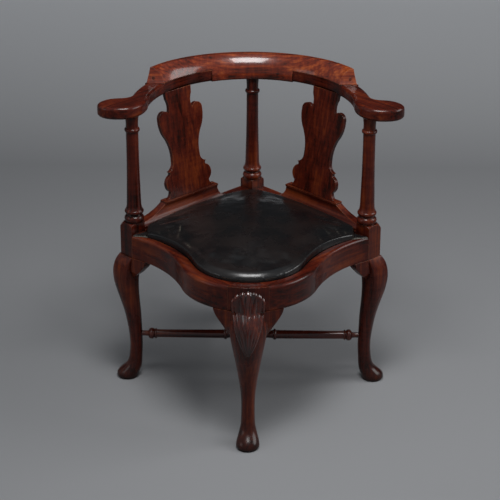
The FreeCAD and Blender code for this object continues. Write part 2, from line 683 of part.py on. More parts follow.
def crest_solid():
    """Crest rail: rolled front, upright back, and a deep middle that comes down between the arms."""
    outer_foot = crest_roll(arm_top)
    upper = swept_about_arm(crest_section(arm_top, [((outer_foot, arm_top), (crest_back_radius, arm_top))]),
                            CREST_SWEEP_ANGLE)
    upright_foot = ARM_UNDERSIDE + CREST_ROLL_FOOT
    round_in = ARM_UNDERSIDE + CREST_LOWER_ROUND
    inner = crest_front_radius
    middle = swept_about_arm(crest_section(ARM_UNDERSIDE, [
        ((inner, upright_foot), (inner, round_in)),
        ((inner, round_in), (inner + CREST_LOWER_ROUND * 0.3, ARM_UNDERSIDE + CREST_LOWER_ROUND * 0.3)),
        ((inner + CREST_LOWER_ROUND * 0.3, ARM_UNDERSIDE + CREST_LOWER_ROUND * 0.3),
         (inner + CREST_LOWER_ROUND, ARM_UNDERSIDE)),
        ((inner + CREST_LOWER_ROUND, ARM_UNDERSIDE), (crest_back_radius, ARM_UNDERSIDE)),
    ]), CREST_JOINT_ANGLE)
    crest = upper.fuse(middle).cut(crest_end_cut())
    end_from_middle = math.sqrt(crest_back_radius ** 2 - CREST_END_BACK ** 2)
    dish_radius = end_from_middle ** 2 / (2 * CREST_DISH)
    dish_centre = Vector(0, 0, crest_top - CREST_DISH + dish_radius)
    dish = Part.makeCylinder(dish_radius, FAR, dish_centre, Vector(0, 1, 0))
    return cleaned(crest.cut(dish))


def crest_end_cut():
    """What is cut away in front of the crest's two ends, which lean back a little hollow."""
    def at(y, height):
        return Vector(-FAR / 2, y, height)
    foot = at(crest_end_line, arm_top)
    top = at(crest_end_line + CREST_END_LEAN, crest_top + 1)
    middle = at(crest_end_line + CREST_END_LEAN / 2 + CREST_END_HOLLOW,
                (arm_top + crest_top - CREST_END_HOLLOW) / 2)
    high = crest_top + CREST_HEIGHT
    return closed_face([
        arc(foot, middle, top),
        line(top, at(crest_end_line + CREST_END_LEAN, high)),
        line(at(crest_end_line + CREST_END_LEAN, high), at(0, high)),
        line(at(0, high), at(0, arm_top)),
        line(at(0, arm_top), foot),
    ]).extrude(Vector(FAR, 0, 0))


def stretcher_solid(half_span):
    """Turned bar along X with a square middle, rings, and a pin at each end."""
    def at(along, radius):
        return Vector(along, 0, STRETCHER_HEIGHT + radius)
    block_end = STRETCHER_BLOCK
    ring = STRETCHER_RING_AT
    bulb = half_span - 24
    shaft = STRETCHER_RADIUS
    pin = STRETCHER_PIN_RADIUS
    tip = half_span + STRETCHER_PIN_LENGTH
    edges = [
        line(at(0, 0), at(0, shaft)),
        line(at(0, shaft), at(block_end, shaft)),
        arc(at(block_end, shaft), at((block_end + ring - 4) / 2, shaft - 2), at(ring - 4, shaft)),
        arc(at(ring - 4, shaft), at(ring, shaft + 3), at(ring + 4, shaft)),
        line(at(ring + 4, shaft), at(bulb - 12, shaft - 1)),
        arc(at(bulb - 12, shaft - 1), at(bulb - 9.5, shaft + 2), at(bulb - 7, shaft - 1)),
        arc(at(bulb - 7, shaft - 1), at(bulb, shaft + 3), at(bulb + 9, pin + 1)),
        line(at(bulb + 9, pin + 1), at(half_span - 8, pin)),
        line(at(half_span - 8, pin), at(tip, pin)),
        line(at(tip, pin), at(tip, 0)),
        line(at(tip, 0), at(0, 0)),
    ]
    half = turned(edges, Vector(0, 0, STRETCHER_HEIGHT), Vector(1, 0, 0))
    block_size = Vector(2 * STRETCHER_BLOCK, STRETCHER_BLOCK, STRETCHER_BLOCK)
    block = box(Vector(0, 0, STRETCHER_HEIGHT), block_size)
    return half.fuse(mirrored(half)).fuse(block)


def halved(stretcher, keep_lower, angle):
    """Cut half the thickness away where the two stretchers cross."""
    half = STRETCHER_BLOCK / 2
    lift = half / 2 if keep_lower else -half / 2
    notch = box(Vector(0, 0, STRETCHER_HEIGHT + lift * 2), Vector(STRETCHER_BLOCK, STRETCHER_BLOCK, 2 * half))
    return turned_round(cleaned(stretcher.cut(notch)), angle)


def leg_inner_face(spread):
    """Distance from the chair's centre to the inside of a leg at the stretcher's height."""
    leg = cabriole(spread, 0.0).translated(Vector(POST_REACH, 0, 0))
    section = Part.makeCompound(leg.slice(UP, STRETCHER_HEIGHT))
    return section.BoundBox.XMin


def largest(shape):
    return max(shape.Solids, key=lambda solid: solid.Volume)


def bracket_solid(start, direction, band, leg, length, drop, edge):
    """Shaped ear under a rail beside a leg. The band gives its faces, the leg its shoulder."""
    outward = Vector(direction.y, -direction.x, 0)
    if outward.dot(start) < 0:
        outward = outward * -1

    def at(along, down, across=0.0):
        return start + direction * along + outward * across + Vector(0, 0, rail_bottom - down)

    def deep(along, down):
        return at(along, down, -100)
    lower_edge = [deep(length * along, drop * down) for along, down in edge]
    outline = closed_face([
        spline(lower_edge),
        line(lower_edge[-1], deep(-BRACKET_ROOT, drop)),
        line(deep(-BRACKET_ROOT, drop), deep(-BRACKET_ROOT, 0)),
        line(deep(-BRACKET_ROOT, 0), lower_edge[0]),
    ])
    blank = outline.extrude(outward * 200)
    front = BRACKET_PROUD + 4
    back = -BRACKET_THICKNESS
    end_view = closed_face([
        line(at(-BRACKET_ROOT, 0, front), at(-BRACKET_ROOT, drop * 0.2, front)),
        arc(at(-BRACKET_ROOT, drop * 0.2, front), at(-BRACKET_ROOT, drop * 0.66, 0),
            at(-BRACKET_ROOT, drop, -BRACKET_ROLL)),
        line(at(-BRACKET_ROOT, drop, -BRACKET_ROLL), at(-BRACKET_ROOT, drop, back + BRACKET_TAPER)),
        arc(at(-BRACKET_ROOT, drop, back + BRACKET_TAPER),
            at(-BRACKET_ROOT, drop * 0.5, back + BRACKET_TAPER * 0.3),
            at(-BRACKET_ROOT, drop * 0.1, back - 4)),
        line(at(-BRACKET_ROOT, drop * 0.1, back - 4), at(-BRACKET_ROOT, 0, back - 4)),
        line(at(-BRACKET_ROOT, 0, back - 4), at(-BRACKET_ROOT, 0, front)),
    ])
    rolled = end_view.extrude(direction * (length + BRACKET_ROOT + 10))
    root = prism(polygon([
        start - direction * BRACKET_ROOT + outward * BRACKET_PROUD,
        start + direction + outward * BRACKET_PROUD,
        start + direction - outward * BRACKET_THICKNESS,
        start - direction * BRACKET_ROOT - outward * BRACKET_THICKNESS,
    ]), rail_bottom - drop, rail_bottom)
    return largest(band.fuse(root).common(blank).common(rolled).cut(leg))


def rear_band():
    """Upright slab under the right rear rail, a little proud of its outer face."""
    proud = BRACKET_PROUD * ROOT2
    depth = BRACKET_THICKNESS * ROOT2
    side = POST_REACH
    return prism(polygon([
        Vector(side + proud, half_diagonal, 0),
        Vector(half_diagonal, side + proud, 0),
        Vector(half_diagonal, side - depth, 0),
        Vector(side - depth, half_diagonal, 0),
    ]), rail_bottom - BRACKET_DROP, rail_bottom)


def corner_block_solid(corner, outward_angle, neighbours):
    """Block glued and screwed across an inside corner of the seat frame."""
    top = seat_ledge - BLOCK_BELOW_SEAT
    reach = BLOCK_LEG / ROOT2
    plan = [Vector(12, -12 - reach, 0), Vector(12, 12 + reach, 0), Vector(-reach, reach + 12, 0),
            Vector(-reach, -reach - 12, 0)]
    blank = prism(polygon(plan), top - BLOCK_DEPTH, top)
    blank.rotate(Vector(0, 0, 0), UP, outward_angle)
    blank.translate(corner)
    for neighbour in neighbours:
        blank = blank.cut(neighbour)
    return max(blank.Solids, key=lambda solid: solid.Volume)


def screw(head_centre, direction, length):
    """Countersunk wood screw from the face of its head along a direction."""
    head = Part.makeCone(SCREW_HEAD_RADIUS, SCREW_RADIUS, SCREW_HEAD_LENGTH, head_centre, direction)
    shank = Part.makeCylinder(SCREW_RADIUS, length, head_centre, direction)
    return head.fuse(shank).removeSplitter().Solids[0]


def seat_members():
    """Four members of the slip seat's frame, halved together at the corners."""
    low, high = seat_frame_bottom, seat_frame_top
    middle = (low + high) / 2
    outer = prism(seat_outline(SEAT_CLEARANCE + LEATHER), low, high)
    inner = prism(seat_outline(SEAT_CLEARANCE + LEATHER + SEAT_FRAME_WIDTH), low, high)
    ring = outer.cut(inner)
    half_lap = SEAT_FRAME_WIDTH / 2
    side_y1 = -SEAT_CORNER_GAP
    side_y0 = side_y1 - SEAT_FRAME_WIDTH

    def joined(blocks):
        pieces = [ring.common(Part.makeBox(x1 - x0, y1 - y0, z1 - z0, Vector(x0, y0, z0)))
                  for x0, x1, y0, y1, z0, z1 in blocks]
        return single(pieces[0].multiFuse(pieces[1:]))
    return {
        "seat_frame_front_right": joined((
            (half_lap, FAR, -FAR, side_y0, low, high),
            (-half_lap, half_lap, -FAR, side_y0, low, middle),
            (half_lap, FAR, side_y0, side_y1, low, middle),
        )),
        "seat_frame_front_left": joined((
            (-FAR, -half_lap, -FAR, side_y0, low, high),
            (-half_lap, half_lap, -FAR, side_y0, middle, high),
            (-FAR, -half_lap, side_y0, side_y1, low, middle),
        )),
        "seat_frame_back_right": joined((
            (half_lap, FAR, side_y1, FAR, low, high),
            (half_lap, FAR, side_y0, side_y1, middle, high),
            (-half_lap, half_lap, side_y1, FAR, low, middle),
        )),
        "seat_frame_back_left": joined((
            (-FAR, -half_lap, side_y1, FAR, low, high),
            (-FAR, -half_lap, side_y0, side_y1, middle, high),
            (-half_lap, half_lap, side_y1, FAR, middle, high),
        )),
    }


def crown(lower_by):
    """Ball whose top is the crowned surface of the seat, lowered by an amount."""
    centre = Vector(0, -CROWN_FORWARD, RAIL_TOP + CROWN_HEIGHT - lower_by - CROWN_RADIUS)
    return Part.makeSphere(CROWN_RADIUS, centre)


def leather_solid():
    """Leather cover: crowned top, sides down the frame, and an edge turned under it."""
    high = RAIL_TOP + CROWN_HEIGHT + 10
    outer = prism(seat_outline(SEAT_CLEARANCE), seat_ledge, high).common(crown(0))
    inner = prism(seat_outline(SEAT_CLEARANCE + LEATHER), seat_frame_bottom, high).common(crown(LEATHER))
    opening = prism(seat_outline(SEAT_CLEARANCE + LEATHER_TURN_IN), seat_ledge, seat_frame_bottom)
    return cleaned(outer.cut(inner).cut(opening))


def stuffing_solid():
    outline = seat_outline(SEAT_CLEARANCE + LEATHER)
    pad = prism(outline, hessian_top, RAIL_TOP + CROWN_HEIGHT + 10)
    return cleaned(pad.common(crown(LEATHER)))


def webbing_solids():
    """Three straps each way, one layer over the other, tacked on top of the frame."""
    field = prism(seat_outline(SEAT_CLEARANCE + LEATHER + 12), seat_frame_top, webbing_top)
    middle = Vector(0, -CROWN_FORWARD, 0)
    straps = []
    for layer, angle in ((0, 45), (1, -45)):
        height = seat_frame_top + WEBBING_THICKNESS * (layer + 0.5)
        for offset in (-1.7, 0, 1.7):
            strap = box(Vector(0, offset * WEBBING_WIDTH, height),
                        Vector(FAR, WEBBING_WIDTH, WEBBING_THICKNESS))
            strap.rotate(Vector(0, 0, 0), UP, angle)
            strap.translate(middle)
            straps.extend(strap.common(field).Solids)
    return Part.makeCompound(straps)


def hessian_solid():
    return prism(seat_outline(SEAT_CLEARANCE + LEATHER + 8), webbing_top, hessian_top)


def tack_solids():
    """Row of tacks that holds the leather's turned edge under the frame."""
    wire = Part.Wire(Part.__sortEdges__(seat_outline(SEAT_CLEARANCE + TACK_INSET)))
    count = int(wire.Length // TACK_SPACING)
    tacks = []
    for place in wire.discretize(Number=count + 1)[:-1]:
        over_front_leg = abs(place.x) - place.y > face_line - TACK_HEAD_RADIUS * 2
        if over_front_leg and place.y < 0 and abs(place.x) < half_diagonal * 2:
            continue
        from_hollow = Vector(abs(place.x), place.y, 0).sub(hollow_centre).Length
        if from_hollow < hollow_radius + FRONT_RAIL_THICKNESS + TACK_HEAD_RADIUS:
            continue
        foot = Vector(place.x, place.y, seat_ledge - TACK_HEAD_THICKNESS)
        head = Part.makeCylinder(TACK_HEAD_RADIUS, TACK_HEAD_THICKNESS, foot)
        shank = Part.makeCylinder(TACK_SHANK_RADIUS, TACK_LENGTH, foot)
        tacks.append(head.fuse(shank).removeSplitter().Solids[0])
    return Part.makeCompound(tacks)


def build():
    nodes = {}
    recess = prism(seat_outline(0), seat_ledge, RAIL_TOP + 1)

    # Legs and posts, before their mortises
    side_leg = leg_with_column(0.0).translated(Vector(POST_REACH, 0, 0))
    long_leg = leg_with_column(LONG_LEG_SPREAD).translated(Vector(POST_REACH, 0, 0))
    legs = {
        "right_leg": side_leg,
        "left_leg": turned_round(side_leg, 180),
        "back_leg": turned_round(long_leg, 90),
        "front_leg": front_leg_solid().cut(recess),
    }

    # Rails
    front_right = front_right_rail_solid(recess)
    back_right = back_right_rail_solid(recess)
    rails = {
        "front_right_rail": front_right,
        "front_left_rail": mirrored(front_right),
        "back_right_rail": back_right,
        "back_left_rail": mirrored(back_right),
    }

    # Knee brackets
    deepest = max(BRACKET_DROP, FRONT_BRACKET_DROP)
    front_band = serpentine_band(-BRACKET_PROUD, BRACKET_THICKNESS, rail_bottom - deepest, rail_bottom)
    back_band = rear_band()
    along_hollow = Vector(-math.cos(math.radians(40)), -math.sin(math.radians(40)), 0)
    along_lobe = Vector(math.cos(math.radians(28)), math.sin(math.radians(28)), 0)
    to_back = Vector(-1, 1, 0).normalize()
    lobe_start = crossing(lobe_centre, LOBE_RADIUS, -face_line, 1)
    plan = (
        ("leg_front", hollow_origin, along_hollow, front_band, "right_leg"),
        ("front_leg", lobe_start, along_lobe, front_band, "front_leg"),
        ("leg_back", Vector(POST_REACH, half_diagonal, 0), to_back, back_band, "right_leg"),
        ("back_leg", Vector(half_diagonal, POST_REACH, 0), to_back * -1, back_band, "back_leg"),
    )
    names = {
        "leg_front": ("right_leg_front_bracket", "left_leg_front_bracket"),
        "front_leg": ("front_leg_right_bracket", "front_leg_left_bracket"),
        "leg_back": ("right_leg_back_bracket", "left_leg_back_bracket"),
        "back_leg": ("back_leg_right_bracket", "back_leg_left_bracket"),
    }
    for key, start, direction, band, leg_name in plan:
        shape = (BRACKET_LENGTH, BRACKET_DROP, BRACKET_EDGE)
        if leg_name == "front_leg":
            shape = (FRONT_BRACKET_LENGTH, FRONT_BRACKET_DROP, FRONT_BRACKET_EDGE)
        bracket = bracket_solid(start, direction, band, legs[leg_name], *shape)
        nodes[names[key][0]] = bracket
        nodes[names[key][1]] = mirrored(bracket)
        if leg_name == "front_leg":
            nodes[names[key][1]] = largest(mirrored(bracket).cut(legs[leg_name]))

    # Mortises for the rails
    for leg_name in legs:
        for rail in rails.values():
            legs[leg_name] = legs[leg_name].cut(rail)

    # Stretchers, crossing halved at the middle and pinned into the legs
    side_half_span = leg_inner_face(0.0)
    long_half_span = leg_inner_face(LONG_LEG_SPREAD)
    nodes["side_to_side_stretcher"] = halved(stretcher_solid(side_half_span), True, 0)
    nodes["front_to_back_stretcher"] = halved(stretcher_solid(long_half_span), False, 90)
    for leg_name in ("right_leg", "left_leg"):
        legs[leg_name] = legs[leg_name].cut(nodes["side_to_side_stretcher"])
    for leg_name in ("front_leg", "back_leg"):
        legs[leg_name] = legs[leg_name].cut(nodes["front_to_back_stretcher"])

    # Shoes and splats
    splat = right_splat_solid()
    right_back_quarter = polygon([Vector(0, 0, 0), Vector(FAR, 0, 0), Vector(FAR, FAR, 0), Vector(0, FAR, 0)])
    splat = splat.common(
        prism(right_back_quarter, shoe_top - SPLAT_TONGUE, ARM_UNDERSIDE + SPLAT_TONGUE))
    shoe = cleaned(right_shoe_solid().cut(splat))
    nodes["right_splat"] = splat
    nodes["left_splat"] = mirrored(splat)
    nodes["right_shoe"] = shoe
    nodes["left_shoe"] = mirrored(shoe)

    # Arms and crest
    crest = crest_solid()
    arm = right_arm_solid().cut(splat).cut(side_leg)
    crest = crest.cut(legs["back_leg"])
    crest_screws = []
    for from_back in CREST_SCREW_ANGLES:
        head = round_point((ARM_INNER_RADIUS + arm_outer_radius) / 2, from_back,
                           ARM_UNDERSIDE + CREST_SCREW_SINK)
        crest_screws.append(screw(head, UP, CREST_SCREW_LENGTH))
        sink = Part.makeCylinder(SCREW_HEAD_RADIUS, CREST_SCREW_SINK, head - UP * CREST_SCREW_SINK)
        arm = arm.cut(sink)
    plug_foot = Vector(PLUG_FROM_MIDDLE, crest_end_line, arm_top + PLUG_ABOVE_ARM)
    plug = Part.makeCylinder(PLUG_RADIUS, PLUG_LENGTH, plug_foot, Vector(0, 1, 0)).cut(crest_end_cut())
    for piece in crest_screws + [plug]:
        arm = arm.cut(piece)
        crest = crest.cut(piece).cut(mirrored(piece))
    nodes["right_arm"] = cleaned(arm)
    nodes["left_arm"] = mirrored(nodes["right_arm"])
    nodes["crest_rail"] = cleaned(crest)
    nodes["crest_screws"] = Part.makeCompound(crest_screws + [mirrored(piece) for piece in crest_screws])
    nodes["crest_end_plugs"] = Part.makeCompound([plug, mirrored(plug)])

    # Corner blocks with two screws each
    solid_neighbours = list(rails.values()) + list(legs.values())
    block_screws = []
    for name, angle in (("right", 0), ("back", 90), ("left", 180), ("front", -90)):
        radians = math.radians(angle)
        corner = Vector(math.cos(radians), math.sin(radians), 0) * face_line
        block = corner_block_solid(corner, angle, solid_neighbours)
        height = seat_ledge - BLOCK_BELOW_SEAT - BLOCK_DEPTH / 2
        for turn in (-1, 1):
            direction = Vector(math.cos(radians + turn * 0.62), math.sin(radians + turn * 0.62), 0)
            sideways = Vector(-math.sin(radians), math.cos(radians), 0) * (turn * 24)
            inner_face = corner - Vector(math.cos(radians), math.sin(radians), 0) * (BLOCK_LEG / ROOT2)
            head = inner_face + sideways + Vector(0, 0, height) + direction * 4
            one = screw(head, direction, BLOCK_SCREW_LENGTH)
            access = Part.makeCylinder(SCREW_HEAD_RADIUS, 12, head - direction * 12, direction)
            block = block.cut(one).cut(access)
            block_screws.append(one)
        nodes[name + "_corner_block"] = cleaned(block)
    for one in block_screws:
        for rail_name in rails:
            rails[rail_name] = rails[rail_name].cut(one)
        for leg_name in legs:
            legs[leg_name] = legs[leg_name].cut(one)
    nodes["corner_block_screws"] = Part.makeCompound(block_screws)

    # Slip seat
    tacks = tack_solids()
    members = seat_members()
    for name in members:
        nodes[name] = cleaned(members[name].cut(tacks))
    nodes["seat_leather"] = cleaned(leather_solid().cut(tacks))
    nodes["seat_stuffing"] = stuffing_solid()
    nodes["seat_webbing"] = webbing_solids()
    nodes["seat_hessian"] = hessian_solid()
    nodes["seat_tacks"] = tacks

    for name in rails:
        nodes[name] = cleaned(rails[name])
    for name in legs:
        nodes[name] = single(legs[name])
    return nodes


os.makedirs("parts", exist_ok=True)
for node_name, node_shape in build().items():
    node_shape.exportStep("parts/" + node_name + ".step")
    print(node_name, len(node_shape.Solids), "solid", node_shape.isValid(), round(node_shape.Volume))
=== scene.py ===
# %% [markdown]
# # A corner chair in mahogany and leather
# The chair stands with one leg towards us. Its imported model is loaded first, as a fixed frame in
# metres. Every piece made below sits where that model says, and rides on one of its two bodies:
# the glued frame, or the slip seat that lifts out.

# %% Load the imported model
import bpy
import bmesh
import math
from mathutils import Vector, Matrix, noise
from mathutils.bvhtree import BVHTree


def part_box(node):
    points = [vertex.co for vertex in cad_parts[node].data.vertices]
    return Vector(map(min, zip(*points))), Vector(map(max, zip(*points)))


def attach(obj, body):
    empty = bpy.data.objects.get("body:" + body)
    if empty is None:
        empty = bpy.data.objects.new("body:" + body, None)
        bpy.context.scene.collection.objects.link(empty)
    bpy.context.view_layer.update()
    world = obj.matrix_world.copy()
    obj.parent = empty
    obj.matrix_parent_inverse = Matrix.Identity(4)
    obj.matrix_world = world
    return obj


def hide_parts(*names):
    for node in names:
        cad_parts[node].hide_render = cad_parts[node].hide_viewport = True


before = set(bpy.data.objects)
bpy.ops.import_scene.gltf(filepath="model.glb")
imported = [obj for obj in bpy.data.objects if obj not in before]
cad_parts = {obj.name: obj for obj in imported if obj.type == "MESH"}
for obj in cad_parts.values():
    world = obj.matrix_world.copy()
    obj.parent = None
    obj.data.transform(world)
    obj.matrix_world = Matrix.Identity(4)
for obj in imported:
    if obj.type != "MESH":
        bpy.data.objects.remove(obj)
scene = bpy.context.scene
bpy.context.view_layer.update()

# %% [markdown]
# The photograph was taken with a long lens from a little above head height, so that we look down
# on the seat. A long lens keeps the verticals nearly parallel. The small shift moves the picture
# down without tilting the camera further.

# %% Camera
CAMERA_BACK = 3.750
CAMERA_HEIGHT = 2.092
CAMERA_PITCH = 23.3
CAMERA_AROUND = 0.85         # degrees to the right of the chair's middle plane
CAMERA_ROLL = 0.15
camera_data = bpy.data.cameras.new("camera")
camera_data.sensor_width = 36
camera_data.lens = 122.5
camera_data.shift_x = -0.0010
camera_data.shift_y = -0.097
camera = bpy.data.objects.new("camera", camera_data)
around = math.radians(CAMERA_AROUND)
camera.matrix_world = (
    Matrix.Translation((CAMERA_BACK * math.sin(around), -CAMERA_BACK * math.cos(around), CAMERA_HEIGHT))
    @ Matrix.Rotation(around, 4, "Z") @ Matrix.Rotation(math.radians(90 - CAMERA_PITCH), 4, "X")
    @ Matrix.Rotation(math.radians(CAMERA_ROLL), 4, "Z"))
scene.collection.objects.link(camera)
scene.camera = camera
scene.view_settings.view_transform = "Standard"
print("camera", CAMERA_HEIGHT, "m up, looking", CAMERA_PITCH, "degrees down")

# %% [markdown]
# Colours are written as they look on a screen and turned to the linear values that Blender mixes.
# One helper adds a shader node with its settings and its links.

# %% Colour and node helpers
def colour(hex_code):
    """Screen colour such as '5e2210' as linear red, green, blue and alpha."""
    channels = [int(hex_code[i:i + 2], 16) / 255 for i in (0, 2, 4)]
    linear = [c / 12.92 if c <= 0.04045 else ((c + 0.055) / 1.055) ** 2.4 for c in channels]
    return (*linear, 1.0)


def add(tree, kind, settings=None, **links):
    """New node of a kind, with plain settings, socket values and sockets to link from."""
    made = tree.nodes.new(kind)
    for key, value in (settings or {}).items():
        setattr(made, key, value)
    for key, value in links.items():
        socket = made.inputs[int(key[1:])] if key[0] == "i" and key[1:].isdigit() else made.inputs[key]
        if isinstance(value, bpy.types.NodeSocket):
            tree.links.new(value, socket)
        else:
            socket.default_value = value
    return made


def new_material(name):
    """Empty node material with its output, and the tree to fill."""
    material = bpy.data.materials.new(name)
    material.use_nodes = True
    material.node_tree.nodes.clear()
    return material, material.node_tree


def finish_material(tree, shader, height=None, distance=0.001, strength=1.0, normal=None):
    """Link the shader to the output, with an optional bump over an optional normal."""
    if height is not None:
        bump = add(tree, "ShaderNodeBump", Strength=strength, Distance=distance, Height=height)
        if normal is not None:
            tree.links.new(normal, bump.inputs["Normal"])
        tree.links.new(bump.outputs["Normal"], shader.inputs["Normal"])
    add(tree, "ShaderNodeOutputMaterial", Surface=shader.outputs[0])


# %% [markdown]
# A plain floor curves up into a backdrop, so that no horizon line shows. It is one painted sweep,
# mid grey where the chair stands and dark up the wall, because polished leather and wood mirror
# whatever stands behind them, and a pale wall would turn both milky. Far behind the chair the floor
# is painted paler, as painted light falling on the backdrop.

# %% Floor and backdrop
FLOOR_REACH = 9.0            # to the front and to each side
BEND_START = 3.2             # where the floor begins to curve up
BEND_RADIUS = 1.6
BEND_STEPS = 12
WALL_TOP = 6.0


def backdrop_profile():
    """Points along the sweep from front to back, as depth and height in metres."""
    points = [(-FLOOR_REACH, 0.0), (-3.0, 0.0), (0.0, 0.0), (BEND_START, 0.0)]
    for step in range(1, BEND_STEPS + 1):
        angle = math.radians(90 * step / BEND_STEPS)
        points.append((BEND_START + BEND_RADIUS * math.sin(angle),
                       BEND_RADIUS - BEND_RADIUS * math.cos(angle)))
    points.append((BEND_START + BEND_RADIUS, WALL_TOP))
    return points


mesh = bpy.data.meshes.new("floor")
profile = backdrop_profile()
mesh.from_pydata([(x, y, z) for x in (-FLOOR_REACH, FLOOR_REACH) for y, z in profile], [],
                 [(i, i + len(profile), i + len(profile) + 1, i + 1) for i in range(len(profile) - 1)])
for face in mesh.polygons:
    face.use_smooth = True
floor = bpy.data.objects.new("floor", mesh)
scene.collection.objects.link(floor)
material, tree = new_material("painted_studio_sweep")
place = add(tree, "ShaderNodeTexCoord")
apart = add(tree, "ShaderNodeSeparateXYZ", Vector=place.outputs["Object"])
# Painted light: far behind the chair the floor turns from mid grey to near white.
painted_light_behind = add(tree, "ShaderNodeMapRange", i0=apart.outputs["Y"], i1=1.4, i2=3.6, i3=0.0, i4=1.0)
upward = add(tree, "ShaderNodeMapRange", i0=apart.outputs["Z"], i1=0.25, i2=0.6, i3=0.0, i4=1.0)
ground = add(tree, "ShaderNodeMix", {"data_type": "RGBA"}, i0=painted_light_behind.outputs[0],
             i6=colour("7c7d7f"), i7=colour("e4e5e7"))
paint = add(tree, "ShaderNodeMix", {"data_type": "RGBA"}, i0=upward.outputs[0],
            i6=ground.outputs[2], i7=colour("4a4b4d"))
shader = add(tree, "ShaderNodeBsdfPrincipled", **{"Base Color": paint.outputs[2], "Roughness": 0.8})
finish_material(tree, shader)
floor.data.materials.append(material)
print("floor of", len(mesh.polygons), "strips")

# %% [markdown]
# Polished wood shows its shape mostly by what it reflects. A soft box hangs low above the chair,
# so that the crest catches more of it than the legs do. A larger one stands high on the right, a
# weak one on the left, and a dim world fills the shadows.

# %% Lamps
def soft_box(name, place, aim, width, height, watts):
    """Rectangular area lamp that looks at a point."""
    lamp = bpy.data.lights.new(name, "AREA")
    lamp.shape = "RECTANGLE"
    lamp.size = width
    lamp.size_y = height
    lamp.energy = watts
    holder = bpy.data.objects.new(name, lamp)
    holder.location = place
    holder.rotation_euler = (Vector(aim) - Vector(place)).to_track_quat("-Z", "Y").to_euler()
    scene.collection.objects.link(holder)
    return holder


soft_box("top_box", (0.05, -0.62, 2.15), (0, 0.0, 0.6), 0.7, 0.7, 32)
soft_box("right_box", (2.7, -0.1, 2.1), (0, 0, 0.5), 1.8, 1.6, 44)
soft_box("left_box", (-2.8, -1.2, 1.7), (0, 0, 0.5), 1.2, 1.2, 6)
world = bpy.data.worlds.new("studio")
scene.world = world
world.use_nodes = True
world.node_tree.nodes["Background"].inputs["Color"].default_value = colour("dfe3e8")
world.node_tree.nodes["Background"].inputs["Strength"].default_value = 0.40

# %% [markdown]
# The wood is taken to be mahogany, polished and waxed over a long life. To the eye it is a deep
# red brown with darker straight streaks along the grain, short dark pores, faint bands of curl
# across the grain, and a soft gloss. Corners and places where parts meet are darkened, as wax and
# dust together with painted shade, and the feet turn darker towards the floor. Hands have rubbed
# the sharp arrises back to paler wood. The grain is drawn in each timber's own direction, since
# each was sawn from a plank before it was shaped. Real pores are 0.2 mm wide: they are drawn 1 mm
# wide so that they show at all. A bevel node rounds the arrises in the shading, because wear
# leaves them about 1 mm soft.

# %% Mahogany
MAHOGANY_TONES = ("180603", "3f1107", "62280d")   # dark, red and gold streaks
# The crest's paler tones are partly its own timber and partly painted light on its lit front.
CREST_TONES_WITH_PAINTED_LIGHT = ("240903", "5c1e0b", "8c431a")      # the crest is paler and more figured
MAHOGANY_WORN = "a5693c"
MAHOGANY_DARKENED = "0d0503"
PORE_WIDTH_MM = 1.0
PORE_LENGTH_MM = 14.0
STREAK_WIDTH_MM = 7.0
STREAK_LENGTH_MM = 260.0
CURL_WIDTH_MM = 8.0
ARRIS_MM = 1.6
CORNER_REACH = 0.016         # how far from a corner the wood darkens, as wax, dust and painted shade
DARKER_UP_TO = 0.11           # height over which the feet are darkened


def per_metre(millimetres):
    """Pattern repeats in one metre."""
    return 1000.0 / millimetres


def noise_along(tree, turned, length, width, detail, roughness=0.5, offset=0.0):
    """Noise drawn out along the first axis of the turned coordinates, sizes in millimetres."""
    scaled = add(tree, "ShaderNodeMapping", i0=turned.outputs[0])
    scaled.inputs["Scale"].default_value = (per_metre(length), per_metre(width), per_metre(width))
    scaled.inputs["Location"].default_value = (offset, offset * 2, -offset)
    made = add(tree, "ShaderNodeTexNoise", Vector=scaled.outputs[0], Scale=1.0, Detail=detail,
               Roughness=roughness, Distortion=0.2)
    return made.outputs["Fac"]


def arris_mask(tree, radius_mm, samples=6):
    """One where two faces meet at a sharp outside edge, zero elsewhere."""
    rounded = add(tree, "ShaderNodeBevel", {"samples": samples}, Radius=radius_mm / 1000)
    true = add(tree, "ShaderNodeNewGeometry")
    agree = add(tree, "ShaderNodeVectorMath", {"operation": "DOT_PRODUCT"},
                i0=rounded.outputs[0], i1=true.outputs["Normal"])
    edge = add(tree, "ShaderNodeMapRange", i0=agree.outputs["Value"], i1=0.99, i2=0.86, i3=0.0, i4=1.0)
    return rounded, edge


